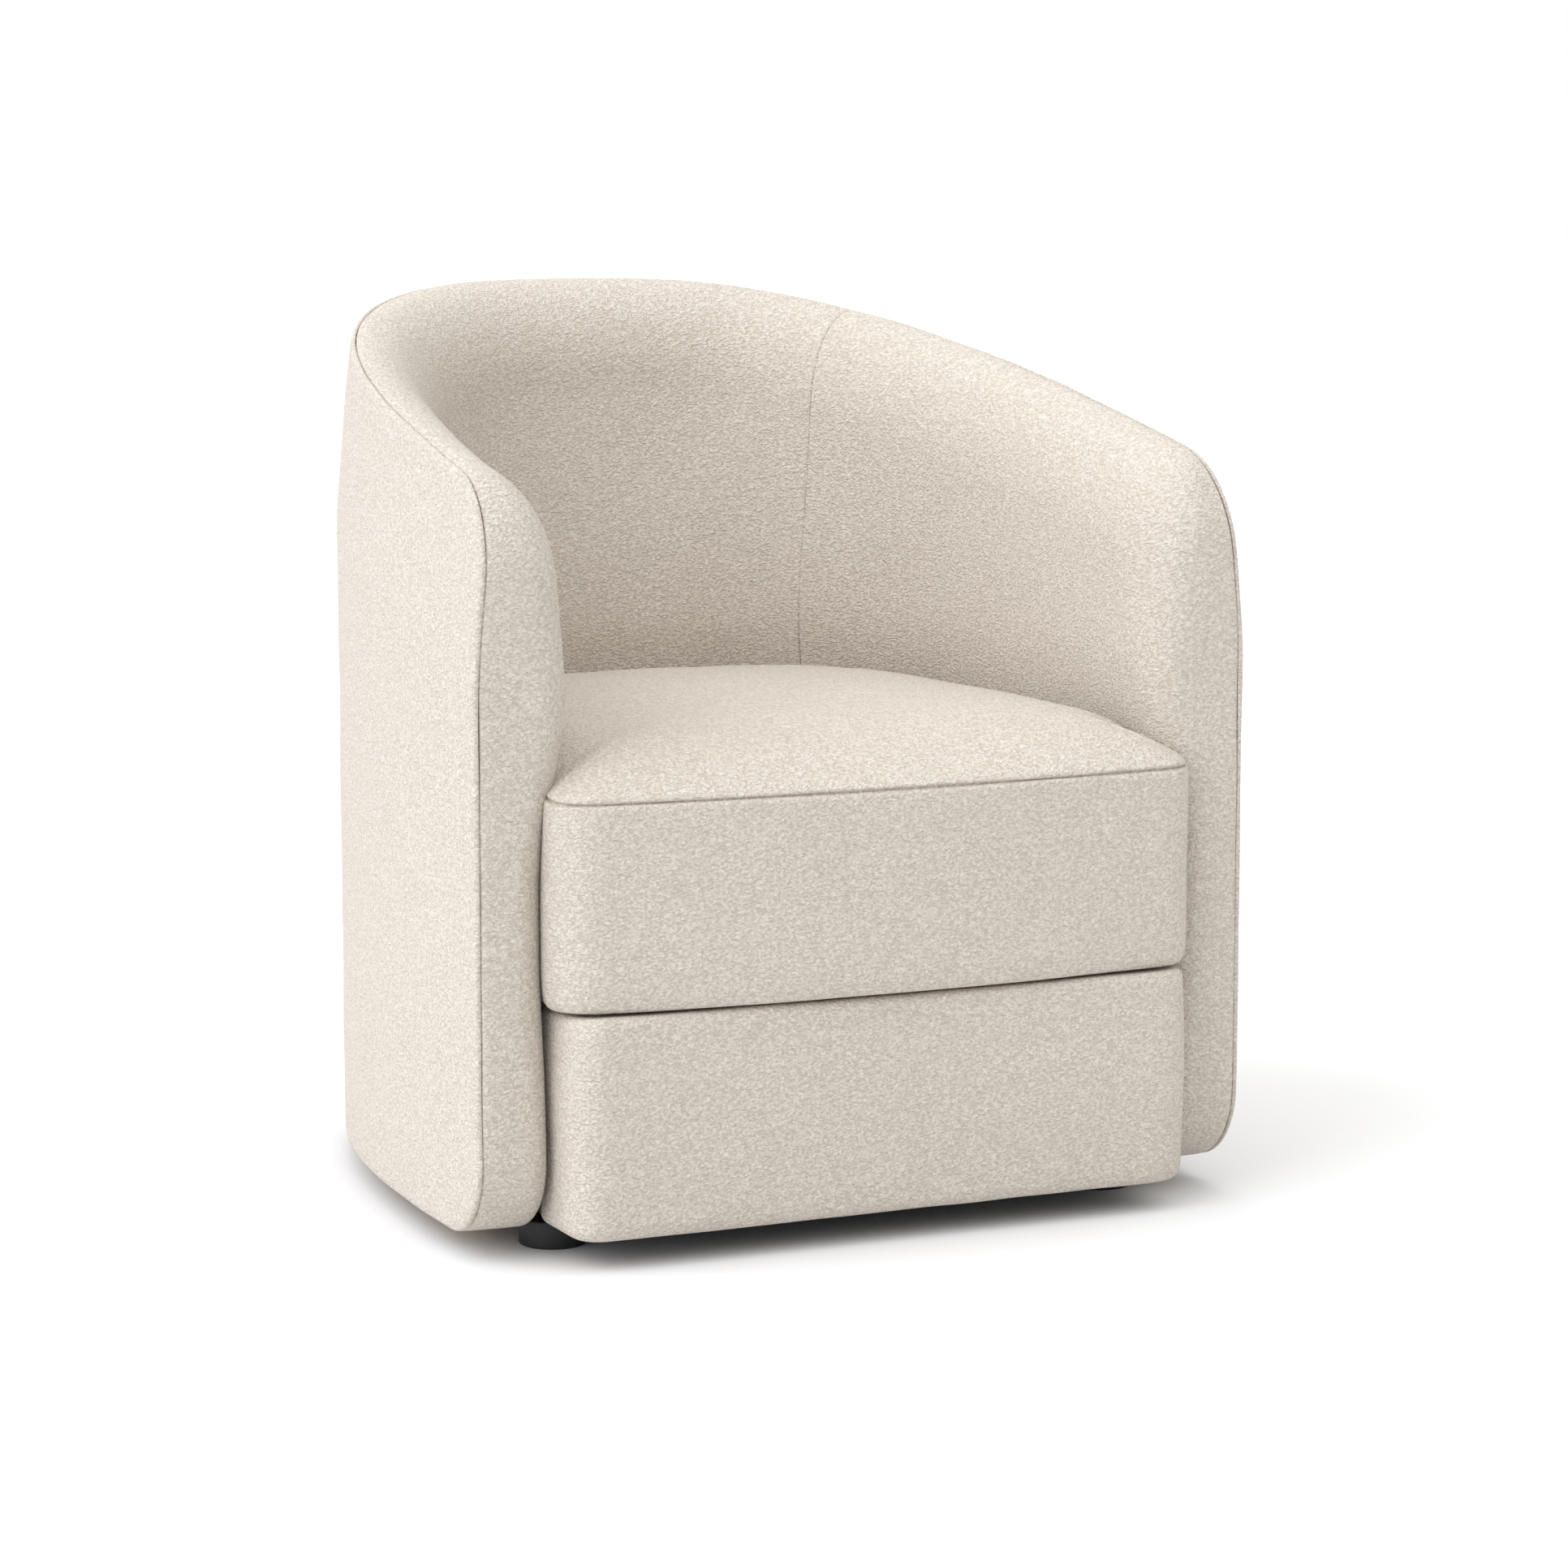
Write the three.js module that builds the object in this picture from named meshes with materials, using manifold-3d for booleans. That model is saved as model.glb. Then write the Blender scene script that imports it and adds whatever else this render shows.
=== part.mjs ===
// A low tub armchair: one upholstered wall runs round both arms and the back, and holds
// a sprung seat on a padded base, a loose seat cushion and four low glide feet.
// Millimetres, +Z up. The origin is on the floor under the middle of the chair, the front
// faces -Y, and the chair is the same on its left (-X) and right (+X).
import * as THREE from 'three';
import { mergeVertices } from 'three/addons/utils/BufferGeometryUtils.js';
import Module from 'manifold-3d';

const wasm = await Module();
wasm.setup();

// ---- Driving dimensions ----

const fitGap = 0.3;               // left between pieces that touch

// the upholstered wall, seen from above
const width = 700;
const wallDepth = 698;            // from the arm fronts to the back
const armStraight = 20;           // how far each arm runs straight before it starts to curve
const wallSquareness = 2.66;      // 2 is an ellipse, more is squarer
const stationSpacing = 78;        // longest flat between two bends of the wall

// the wall, seen from the side
const wallBottom = 20;
const rimFront = 626;             // height of the rim line where it meets the arm front
const rimBack = 774;
const armTopRadius = 90;
const armBottomRadius = 70;
const armEdgeRadius = 25;         // along the inner edge of each arm front

// the wall's thickness
const armPocketThickness = 58;    // beside the cushion
const armThickness = 88;          // where the arm padding is fullest
const backPocketThickness = 154;
const backTopThickness = 104;
const rimCrest = 28;              // from the outside to the highest line of the rim
const wallLean = 14;              // how far the outside leans in at the rim
const leanDepth = 160;            // and how far below the rim it starts
const rimRollDepth = 96;          // how far below the rim its inner roll ends
const backBlendStart = 0.22;      // shares of the way round where arm padding turns
const backBlendEnd = 0.46;        // into back padding

// layers of the wall, from the outside in
const coverThickness = 1.6;
const coverEase = 1;              // between the wall's padding and its cover
const waddingThickness = 6;
const boardThickness = 3;
const frameThickness = 22;
const rimPadding = 38;            // foam over the top of the frame
const boardPadding = 78;          // below the rim, where the outside board ends
const rimGap = 1.5;               // round the curved top of the frame, where faces are twisted
const armFrontPadding = 13;       // foam in front of the arm posts
const armSkirtLength = 100;       // the arm front's padding reaches the bottom this far back
const layerRise = 6;              // from the wall's bottom up to the boards, wadding and rail in it
const innerSeamPlace = 0.322;     // the upright seams of the inner back, as shares of the way round

// wooden frame of the wall
const lowerRailTop = 140;
const topRailHeight = 45;
const frontPostWidth = 40;
const postWidth = 40;
const armPostPlace = 0.20;        // shares of the way round
const backPostPlace = 0.37;

// seat frame
const seatFrameBottom = 25.6;
const seatFrameTop = 176;
const crossRailPlace = 168;       // from the back of the wall to the front of the cross rail
const cornerBlockHeight = 80;

// seat springs
const springCount = 5;
const springSpacing = 90;
const springWire = 4;
const springSwing = 22;
const springBends = 20;

// padded base under the cushion
const baseProud = 43;             // how far it stands in front of the arm fronts
const baseHalfWidth = 281;
const baseCornerRadius = 28;
const baseReturn = 40;            // how far its sides reach in between the arms
const basePadding = 8;
const baseBottom = 24;

// seat cushion
const cushionProud = 52;
const cushionBow = 15;            // how much further back the front is at its corners
const cushionCornerRadius = 40;
const cushionBottom = 208;
const cushionSeam = 378;          // height of the seam along the front's top edge
const cushionCrown = 420;
const cushionSideGap = 0.5;
const cushionRoll = 16;           // rolled bottom edge
const deckClothThickness = 1.4;
const zipLength = 340;
const zipWidth = 10;
const zipHeight = 290;

// feet and fasteners
const footRadius = 28;
const footHeight = 23.9;
const frontFootInset = 36;        // from the inside of each arm's padding
const frontFootPlace = 77;        // from the arm fronts
const rearFootX = 156;
const rearFootPlace = 131;        // from the back of the wall
const screwRadius = 2.5;
const screwLength = 34;
const screwHeadRadius = 6;
const screwHeadHeight = 3;
const boltRadius = 4;
const boltHeadRadius = 8;
const boltHeadHeight = 5;
const boltPlaces = [135, 320];    // distances round the outside from each arm front
const boltHeight = 120;
const boltTip = 3;                // wood left beyond the end of each bolt
const boltSeatGap = 0.8;          // under each bolt's head
const holeClearance = 0.3;        // round a screw or bolt

// ---- Sizes worked out from them ----

const depth = wallDepth + cushionProud;
const armFrontY = -depth / 2 + cushionProud;
const wallCurveDepth = wallDepth - armStraight;
const rimSlope = (rimBack - rimFront) / wallDepth;
const rimAngle = Math.atan(rimSlope);
const frontFootX = width / 2 - armPocketThickness - frontFootInset;

const waddingOutside = coverThickness + fitGap;
const boardOutside = waddingOutside + waddingThickness + fitGap;
const frameOutside = boardOutside + boardThickness + fitGap;
const frameInside = frameOutside + frameThickness;
const innerBoardOutside = frameInside + fitGap;
const innerBoardInside = innerBoardOutside + boardThickness;
const ringOutside = innerBoardInside + fitGap;
const ringInside = ringOutside + frameThickness;
const springHeight = seatFrameTop + fitGap + springWire / 2;
const paddingBottom = springHeight + springWire / 2 + fitGap;
const cushionFloor = cushionBottom - fitGap;

// ---- Colours ----

const ivoryFabric = { color: 0xe4dcd0, roughness: 0.95, metalness: 0 };
const foam = { color: 0xf1e3b4, roughness: 0.9, metalness: 0 };
const fibre = { color: 0xf4f4f0, roughness: 0.95, metalness: 0 };
const plywood = { color: 0xc9a877, roughness: 0.7, metalness: 0 };
const hardboard = { color: 0x8a6a48, roughness: 0.8, metalness: 0 };
const steel = { color: 0x9a9da0, roughness: 0.35, metalness: 1 };
const blackPlastic = { color: 0x161616, roughness: 0.5, metalness: 0 };
const blackCloth = { color: 0x222222, roughness: 0.95, metalness: 0 };
const greyFelt = { color: 0x8e8c88, roughness: 1, metalness: 0 };

const chair = new THREE.Group();

function addPiece(name, geometry, finish) {
  const mesh = new THREE.Mesh(geometry, new THREE.MeshStandardMaterial(finish));
  mesh.name = name;
  chair.add(mesh);
  return mesh;
}

// ---- Closed solids from rings of points ----

function solidFromTriangles(points, triangles) {
  let volume = 0;
  for (const [a, b, c] of triangles) {
    volume += points[a].dot(points[b].clone().cross(points[c]));
  }
  const index = [];
  for (const [a, b, c] of triangles) {
    index.push(...(volume > 0 ? [a, b, c] : [a, c, b]));
  }
  const geometry = new THREE.BufferGeometry();
  geometry.setAttribute('position', new THREE.Float32BufferAttribute(points.flatMap((p) => [p.x, p.y, p.z]), 3));
  geometry.setIndex(index);
  return geometry;
}

// Rings with the same number of points are joined in order, and the flat outlines close the ends.
function loft(rings, firstOutline, lastOutline) {
  const count = rings[0].length;
  const triangles = [];
  for (let r = 0; r < rings.length - 1; r++) {
    for (let i = 0; i < count; i++) {
      const a = r * count + i;
      const b = r * count + (i + 1) % count;
      triangles.push([a, b, b + count]);
      triangles.push([a, b + count, a + count]);
    }
  }
  const winding = (outline) => Math.sign(THREE.ShapeUtils.area(outline));
  const capTriangles = (outline) => {
    return THREE.ShapeUtils.triangulateShape(outline, []).map(([a, b, c]) => {
      const turn = Math.sign(THREE.ShapeUtils.area([outline[a], outline[b], outline[c]]));
      return turn === winding(outline) ? [a, b, c] : [a, c, b];
    });
  };
  const last = (rings.length - 1) * count;
  for (const [a, b, c] of capTriangles(firstOutline)) {
    triangles.push([a, c, b]);
  }
  for (const [a, b, c] of capTriangles(lastOutline)) {
    triangles.push([last + a, last + b, last + c]);
  }
  return solidFromTriangles(rings.flat(), triangles);
}

// Level outlines (lists of [x, y]) are stacked at their heights.
function stack(levels) {
  const rings = levels.map(({ outline, z }) => outline.map(([x, y]) => new THREE.Vector3(x, y, z)));
  const flat = (outline) => outline.map(([x, y]) => new THREE.Vector2(x, y));
  return loft(rings, flat(levels[0].outline), flat(levels[levels.length - 1].outline));
}

function plate(outline, bottom, top) {
  return stack([{ outline, z: bottom }, { outline, z: top }]);
}

function block(x0, x1, y0, y1, z0, z1) {
  const geometry = new THREE.BoxGeometry(x1 - x0, y1 - y0, z1 - z0);
  return geometry.translate((x0 + x1) / 2, (y0 + y1) / 2, (z0 + z1) / 2);
}

// ---- Cutting and joining ----

function toManifold(geometry) {
  const bare = new THREE.BufferGeometry();
  bare.setAttribute('position', geometry.getAttribute('position').clone());
  if (geometry.index) {
    bare.setIndex(geometry.index.clone());
  }
  const merged = mergeVertices(bare, 1e-4);
  return new wasm.Manifold(new wasm.Mesh({
    numProp: 3,
    vertProperties: new Float32Array(merged.getAttribute('position').array),
    triVerts: new Uint32Array(merged.index.array),
  }));
}

function fromManifold(solid) {
  const mesh = solid.getMesh();
  const geometry = new THREE.BufferGeometry();
  geometry.setAttribute('position', new THREE.BufferAttribute(new Float32Array(mesh.vertProperties), 3));
  geometry.setIndex(new THREE.BufferAttribute(new Uint32Array(mesh.triVerts), 1));
  return geometry;
}

function cut(geometry, ...tools) {
  let solid = toManifold(geometry);
  for (const tool of tools) {
    solid = solid.subtract(toManifold(tool));
  }
  return fromManifold(solid);
}

function common(geometry, tool) {
  return fromManifold(toManifold(geometry).intersect(toManifold(tool)));
}

// ---- The wall's own coordinates ----
// s runs round the outside from the left arm front to the right one, d is the distance
// inwards from the outside, and z is the height.

const wallTable = makeWallTable(1200);
const wallLength = wallTable[wallTable.length - 1].s;
const wallStations = makeWallStations();

function makeWallTable(steps) {
  const halfWidth = width / 2;
  const table = [{ s: 0, x: -halfWidth, y: armFrontY, nx: 1, ny: 0 }];
  for (let i = 0; i <= steps; i++) {
    const angle = Math.PI * i / steps;
    const across = Math.cos(angle);
    const back = Math.sin(angle);
    const x = -halfWidth * Math.sign(across) * Math.abs(across) ** (2 / wallSquareness);
    const y = armFrontY + armStraight + wallCurveDepth * Math.abs(back) ** (2 / wallSquareness);
    const power = wallSquareness - 1;
    const gx = Math.sign(x) * Math.abs(x / halfWidth) ** power / halfWidth;
    const gy = ((y - armFrontY - armStraight) / wallCurveDepth) ** power / wallCurveDepth;
    const length = Math.hypot(gx, gy);
    const before = table[table.length - 1];
    const s = before.s + Math.hypot(x - before.x, y - before.y);
    table.push({ s, x, y, nx: -gx / length, ny: -gy / length });
  }
  const end = table[table.length - 1];
  table.push({ s: end.s + armStraight, x: halfWidth, y: armFrontY, nx: -1, ny: 0 });
  return table;
}

// The row before s in a table, and how far s is on the way to the next row.
function findIn(table, s) {
  let low = 0;
  let high = table.length - 1;
  while (high - low > 1) {
    const middle = (low + high) >> 1;
    if (table[middle].s <= s) low = middle;
    else high = middle;
  }
  const share = (s - table[low].s) / (table[high].s - table[low].s);
  return [table[low], table[high], THREE.MathUtils.clamp(share, 0, 1)];
}

// Stations along the wall: close together round the arm fronts, then evenly spaced.
// The wall is flat between them, so that pieces of any length lie on the same faces.
function makeWallStations() {
  const nearFront = [0, 3, 8, 16, 28, 44, 64, 90];
  const last = nearFront[nearFront.length - 1];
  const even = 2 * Math.ceil((wallLength / 2 - last) / stationSpacing);
  const stops = [...nearFront];
  for (let i = 1; i < even; i++) {
    stops.push(last + (wallLength - 2 * last) * i / even);
  }
  stops.push(...nearFront.map((s) => wallLength - s).reverse());
  return stops.map((s) => {
    const [a, b, share] = findIn(wallTable, s);
    const mix = (key) => a[key] + (b[key] - a[key]) * share;
    const length = Math.hypot(mix('nx'), mix('ny'));
    return { s, x: mix('x'), y: mix('y'), nx: mix('nx') / length, ny: mix('ny') / length };
  });
}

function wallPlace(s, d = 0) {
  const [a, b, share] = findIn(wallStations, s);
  const mix = (key) => a[key] + (b[key] - a[key]) * share;
  const along = { x: b.x - a.x + (b.nx - a.nx) * d, y: b.y - a.y + (b.ny - a.ny) * d };
  const length = Math.hypot(along.x, along.y);
  return {
    x: mix('x') + mix('nx') * d, y: mix('y') + mix('ny') * d,
    nx: along.y / length, ny: -along.x / length,
  };
}

// The stations that a piece passes between its two ends.
function wallStops(from, to) {
  const between = wallStations.map(({ s }) => s).filter((s) => s > from + 1 && s < to - 1);
  return [from, ...between, to];
}

// How far a point of the wall is from the nearer arm front, measured round the outside.
function fromArmFront(s) {
  return Math.min(s, wallLength - s);
}

// A height worked out at the stations, and straight between them.
function straightBetween(height) {
  return (s, inset = 0) => {
    const [a, b, share] = findIn(wallStations, s);
    return height(a.s, inset) * (1 - share) + height(b.s, inset) * share;
  };
}

// The top of the wall, kept inset below the rim: a round corner, then the sloping rim line.
const wallTop = straightBetween((s, inset) => {
  const near = fromArmFront(s);
  const centre = rimFront + rimSlope * armTopRadius - armTopRadius / Math.cos(rimAngle);
  if (near < armTopRadius * (1 - Math.sin(rimAngle))) {
    const radius = armTopRadius - inset;
    const reach = Math.min(armTopRadius - near, radius);
    return centre + Math.sqrt(radius ** 2 - reach ** 2);
  }
  return rimFront + rimSlope * (wallPlace(s).y - armFrontY) - inset / Math.cos(rimAngle);
});

const wallUnderside = straightBetween((s, inset) => {
  const near = fromArmFront(s);
  const radius = armBottomRadius - inset;
  const reach = Math.min(Math.max(armBottomRadius - near, 0), radius);
  return wallBottom + armBottomRadius - Math.sqrt(radius ** 2 - reach ** 2);
});

// The padding's thickness beside the cushion, where it is fullest, and under the rim.
function wallThickness(s, level) {
  const share = Math.min(s, wallLength - s) / wallLength;
  const toBack = THREE.MathUtils.smoothstep(share, backBlendStart, backBlendEnd);
  const full = armThickness + (backPocketThickness - armThickness) * toBack;
  const pocket = armPocketThickness + (backPocketThickness - armPocketThickness) * toBack;
  const top = armThickness + (backTopThickness - armThickness) * toBack;
  return { pocket, full, top }[level];
}

// How far the outside has leaned in at this distance below the rim.
function leanAt(below) {
  return wallLean * Math.max(1 - below / leanDepth, 0) ** 1.3;
}

// The outside line of a layer, going up, as points of a section: straight, then leaning in.
function outsideLine(layer, bottom, rim, end) {
  const stops = [leanDepth, 100, 60, 30].filter((below) => below > end + 3);
  const leaning = [...stops, end].map((below) => [layer + leanAt(below), rim - below]);
  return [[layer, bottom], ...leaning];
}

function wallLoft(stops, section) {
  const outlines = stops.map((s) => section(s).map(([d, z]) => new THREE.Vector2(d, z)));
  const rings = stops.map((s, i) => outlines[i].map((point) => {
    const place = wallPlace(s, point.x);
    return new THREE.Vector3(place.x, place.y, point.y);
  }));
  return loft(rings, outlines[0], outlines[outlines.length - 1]);
}

// A bent plank: one thickness all along, between two heights that may change along it.
function wallPlank(from, to, outside, inside, bottom, top) {
  return wallLoft(wallStops(from, to), (s) => {
    return [[outside, bottom(s)], [inside, bottom(s)], [inside, top(s)], [outside, top(s)]];
  });
}

// The whole padded wall inside a cover of the given thickness.
// It can be stretched outwards and downwards so that it opens a skin cut with it.
function paddedWall(inset, outside, underside) {
  const section = (s) => {
    const near = Math.max(fromArmFront(s) - inset, 0);
    const round = Math.max(armEdgeRadius - near, 0);
    const edge = armEdgeRadius - Math.sqrt(armEdgeRadius ** 2 - round ** 2);
    const inner = (level) => wallThickness(s, level) - inset - edge;
    const top = wallTop(s, inset);
    const bottom = underside ?? wallUnderside(s, inset);
    const rollEnd = top - rimRollDepth + inset;
    const points = outsideLine(outside, bottom, wallTop(s), 7 + inset);
    points.push([outside + leanAt(0) + 7, top], [rimCrest, top]);
    for (const angle of [25, 50, 70, 90].map(THREE.MathUtils.degToRad)) {
      const d = rimCrest + (inner('top') - rimCrest) * Math.sin(angle);
      points.push([d, rollEnd + (top - rollEnd) * Math.cos(angle)]);
    }
    const bulgeEnd = Math.min(cushionCrown + 60, rollEnd - 8);
    points.push([inner('full'), bulgeEnd]);
    points.push([THREE.MathUtils.lerp(inner('pocket'), inner('full'), 0.75), cushionSeam + 30]);
    points.push([inner('pocket'), cushionSeam]);
    points.push([inner('pocket'), bottom]);
    return points;
  };
  return wallLoft(wallStops(inset, wallLength - inset), section);
}

// ---- Outside of the wall ----

function makeOuterCover() {
  const edge = 6;
  const geometry = wallLoft(wallStops(2, wallLength - 2), (s) => {
    const side = (layer) => outsideLine(layer, wallUnderside(s), wallTop(s), edge);
    return [...side(coverThickness), ...side(0).reverse()];
  });
  addPiece('outer_cover', geometry, ivoryFabric);
}

function makeOuterLayers() {
  const from = armFrontPadding + fitGap;
  const bottom = (s) => wallUnderside(s, layerRise);
  const layer = (outside, thickness, below) => {
    const top = (s) => wallTop(s) - below;
    return wallPlank(from, wallLength - from, outside, outside + thickness, bottom, top);
  };
  addPiece('outer_wadding', layer(waddingOutside, waddingThickness, leanDepth + fitGap), fibre);
  addPiece('outer_board', layer(boardOutside, boardThickness, boardPadding), hardboard);
}

// ---- Frame of the wall ----

const postStart = armFrontPadding + fitGap;
const topRailStart = postStart + frontPostWidth + fitGap;
const topRailTop = (s) => wallTop(s, rimPadding + rimGap);
const topRailBottom = (s) => topRailTop(s) - topRailHeight;

const allBoltPlaces = [...boltPlaces, ...boltPlaces.map((s) => wallLength - s)];
const boltEnd = frameOutside + boltTip;

// Straight holes across the wall, each a little deeper than its bolt's end.
function boltHoles() {
  const length = ringInside + 10 - boltEnd;
  const radius = boltRadius + holeClearance;
  return allBoltPlaces.map((s) => {
    const end = wallPlace(s, boltEnd);
    const middle = length / 2 - fitGap;
    const hole = new THREE.CylinderGeometry(radius, radius, length, 12);
    hole.rotateZ(Math.atan2(end.ny, end.nx) - Math.PI / 2);
    return hole.translate(end.x + end.nx * middle, end.y + end.ny * middle, boltHeight);
  });
}

function makeWallFrame() {
  const to = wallLength - postStart;
  const lowerRail = wallPlank(
    postStart, to, frameOutside, frameInside,
    (s) => wallUnderside(s, layerRise), () => lowerRailTop,
  );
  addPiece('lower_rail', cut(lowerRail, ...boltHoles()), plywood);

  const topRail = wallPlank(
    topRailStart, wallLength - topRailStart, frameOutside, frameInside,
    topRailBottom, topRailTop,
  );
  addPiece('top_rail', topRail, plywood);

  const postBottom = () => lowerRailTop + fitGap;
  const post = (from, length, top) => {
    return wallPlank(from, from + length, frameOutside, frameInside, postBottom, top);
  };
  const underTopRail = (s) => topRailBottom(s) - rimGap;
  const posts = [
    ['arm_front_post_left', postStart, topRailTop],
    ['arm_middle_post_left', wallLength * armPostPlace, underTopRail],
    ['back_post_left', wallLength * backPostPlace, underTopRail],
    ['back_post_centre', (wallLength - postWidth) / 2, underTopRail],
    ['back_post_right', wallLength * (1 - backPostPlace) - postWidth, underTopRail],
    ['arm_middle_post_right', wallLength * (1 - armPostPlace) - postWidth, underTopRail],
    ['arm_front_post_right', wallLength - postStart - frontPostWidth, topRailTop],
  ];
  for (const [name, from, top] of posts) {
    const length = name.includes('front') ? frontPostWidth : postWidth;
    addPiece(name, post(from, length, top), plywood);
  }
}

function makeInnerBoard() {
  const board = wallPlank(
    postStart, wallLength - postStart, innerBoardOutside, innerBoardInside,
    (s) => wallUnderside(s, layerRise), (s) => wallTop(s, rimPadding + rimGap),
  );
  addPiece('inner_board', cut(board, ...boltHoles()), hardboard);
}

// ---- Padding and covers on the inside of the wall ----

// Space taken out of the padding for the frame, and out of padding and cover for the seat frame.
function frameSpace() {
  return wallPlank(
    armFrontPadding, wallLength - armFrontPadding, -20, innerBoardInside + fitGap,
    () => -20, (s) => wallTop(s, rimPadding),
  );
}

function seatFrameSpace() {
  const inside = backPocketThickness + 60;
  return wallPlank(
    armSkirtLength, wallLength - armSkirtLength, -20, inside,
    () => -20, () => paddingBottom,
  );
}

// Everything in front of an upright plane across the wall at the left seam (side 1) or the
// right one (side -1), reaching past the plane by clearance.
function beforeSeam(side, clearance) {
  const far = width + depth;
  const place = wallPlace(wallLength * innerSeamPlace);
  const corner = (across, before) => [
    side * (place.x + place.nx * across + place.ny * before),
    place.y + place.ny * across - place.nx * before,
  ];
  const outline = [corner(-far, -clearance), corner(far, -clearance), corner(far, far), corner(-far, far)];
  const half = side > 0 ? block(-far, 0, -far, far, -far, far) : block(0, far, -far, far, -far, far);
  return common(plate(outline, -far, far), half);
}

// Padding and cover are each cut at the two upright seams of the inner back.
function addInThree(name, solid, finish) {
  addPiece(`${name}_left`, common(solid, beforeSeam(1, -fitGap / 2)), finish);
  addPiece(`${name}_back`, cut(solid, beforeSeam(1, fitGap / 2), beforeSeam(-1, fitGap / 2)), finish);
  addPiece(`${name}_right`, common(solid, beforeSeam(-1, -fitGap / 2)), finish);
}

function makeInnerPadding() {
  const inset = coverThickness + coverEase;
  const solid = paddedWall(inset, inset, undefined);
  addInThree('inner_padding', cut(solid, frameSpace(), seatFrameSpace()), foam);
}

function makeInnerCovers() {
  const outside = coverThickness + fitGap;
  const skin = cut(paddedWall(0, outside, undefined), paddedWall(coverThickness, -20, -20), seatFrameSpace());
  addInThree('inner_cover', skin, ivoryFabric);
}

// ---- Seat frame ----

// The front of the base seen from above, moved inwards by inset, with its sides ending at backY.
function baseFront(inset, backY) {
  const front = armFrontY - baseProud + inset;
  const halfWidth = baseHalfWidth - inset;
  const radius = Math.max(baseCornerRadius - inset, 4);
  return [
    [-halfWidth, backY],
    ...quarterArc(-halfWidth + radius, front + radius, radius, Math.PI),
    ...quarterArc(halfWidth - radius, front + radius, radius, Math.PI * 1.5),
    [halfWidth, backY],
  ];
}

function quarterArc(centreX, centreY, radius, startAngle, steps = 5) {
  const points = [];
  for (let i = 0; i <= steps; i++) {
    const angle = startAngle + Math.PI / 2 * i / steps;
    points.push([centreX + radius * Math.cos(angle), centreY + radius * Math.sin(angle)]);
  }
  return points;
}

const frontRailInset = coverThickness + basePadding + boardThickness + 3 * fitGap;
const frontRailFront = armFrontY - baseProud + frontRailInset;
const frontRailBack = frontRailFront + frameThickness;
const frontRailHalfWidth = baseHalfWidth - frontRailInset;
const ringStart = armSkirtLength + 4;
const crossRailFront = armFrontY + wallDepth - crossRailPlace;
const crossRailBack = crossRailFront + frameThickness;

const feet = [
  ['front_left', -frontFootX, armFrontY + frontFootPlace],
  ['front_right', frontFootX, armFrontY + frontFootPlace],
  ['rear_left', -rearFootX, armFrontY + wallDepth - rearFootPlace],
  ['rear_right', rearFootX, armFrontY + wallDepth - rearFootPlace],
];

function screwHoles() {
  return feet.map(([, x, y]) => {
    const hole = new THREE.CylinderGeometry(
      screwRadius + holeClearance, screwRadius + holeClearance, screwLength + 4, 10,
    );
    hole.rotateX(Math.PI / 2);
    return hole.translate(x, y, footHeight + screwLength / 2 - 2);
  });
}

// Everything outside the inner face of the seat ring, to trim pieces that fit inside it.
function ringSpace() {
  return wallPlank(
    0, wallLength, -150, ringInside + fitGap, () => -20, () => seatFrameTop + 20,
  );
}

function makeSeatFrame() {
  const ring = wallPlank(
    ringStart, wallLength - ringStart, ringOutside, ringInside,
    () => seatFrameBottom, () => seatFrameTop,
  );
  addPiece('seat_ring', cut(ring, ...boltHoles()), plywood);

  const frontRail = plate(baseFront(frontRailInset, frontRailBack), seatFrameBottom, seatFrameTop);
  addPiece('seat_front_rail', frontRail, plywood);

  const crossRail = block(
    -width / 2, width / 2, crossRailFront, crossRailBack, seatFrameBottom, seatFrameTop,
  );
  addPiece('seat_cross_rail', cut(crossRail, ringSpace()), plywood);
  makeCornerBlocks();
}

function makeCornerBlocks() {
  const blockTop = seatFrameBottom + cornerBlockHeight;
  const ringInsideX = width / 2 - ringInside - fitGap;
  const start = frontRailBack + fitGap;
  const skirtEnd = armFrontY + ringStart;
  const innerX = frontFootX - footRadius * 2;
  const frontOutline = [
    [innerX, start], [frontRailHalfWidth, start], [frontRailHalfWidth, skirtEnd],
    [ringInsideX, skirtEnd + 6], [ringInsideX, skirtEnd + 90], [innerX, skirtEnd + 40],
  ];
  const rearInnerX = rearFootX - footRadius * 1.6;
  const rearOuterX = rearFootX + footRadius * 1.6;
  const rearStart = crossRailBack + fitGap;
  const rearEnd = armFrontY + wallDepth;
  const rearOutline = [
    [rearInnerX, rearStart], [rearOuterX, rearStart], [rearOuterX, rearEnd], [rearInnerX, rearEnd],
  ];
  for (const [end, outline] of Object.entries({ front: frontOutline, rear: rearOutline })) {
    for (const [side, sign] of Object.entries({ left: -1, right: 1 })) {
      const shape = plate(outline.map(([x, y]) => [sign * x, y]), seatFrameBottom, blockTop);
      addPiece(`corner_block_${end}_${side}`, cut(shape, ringSpace(), ...screwHoles()), plywood);
    }
  }
}

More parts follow.
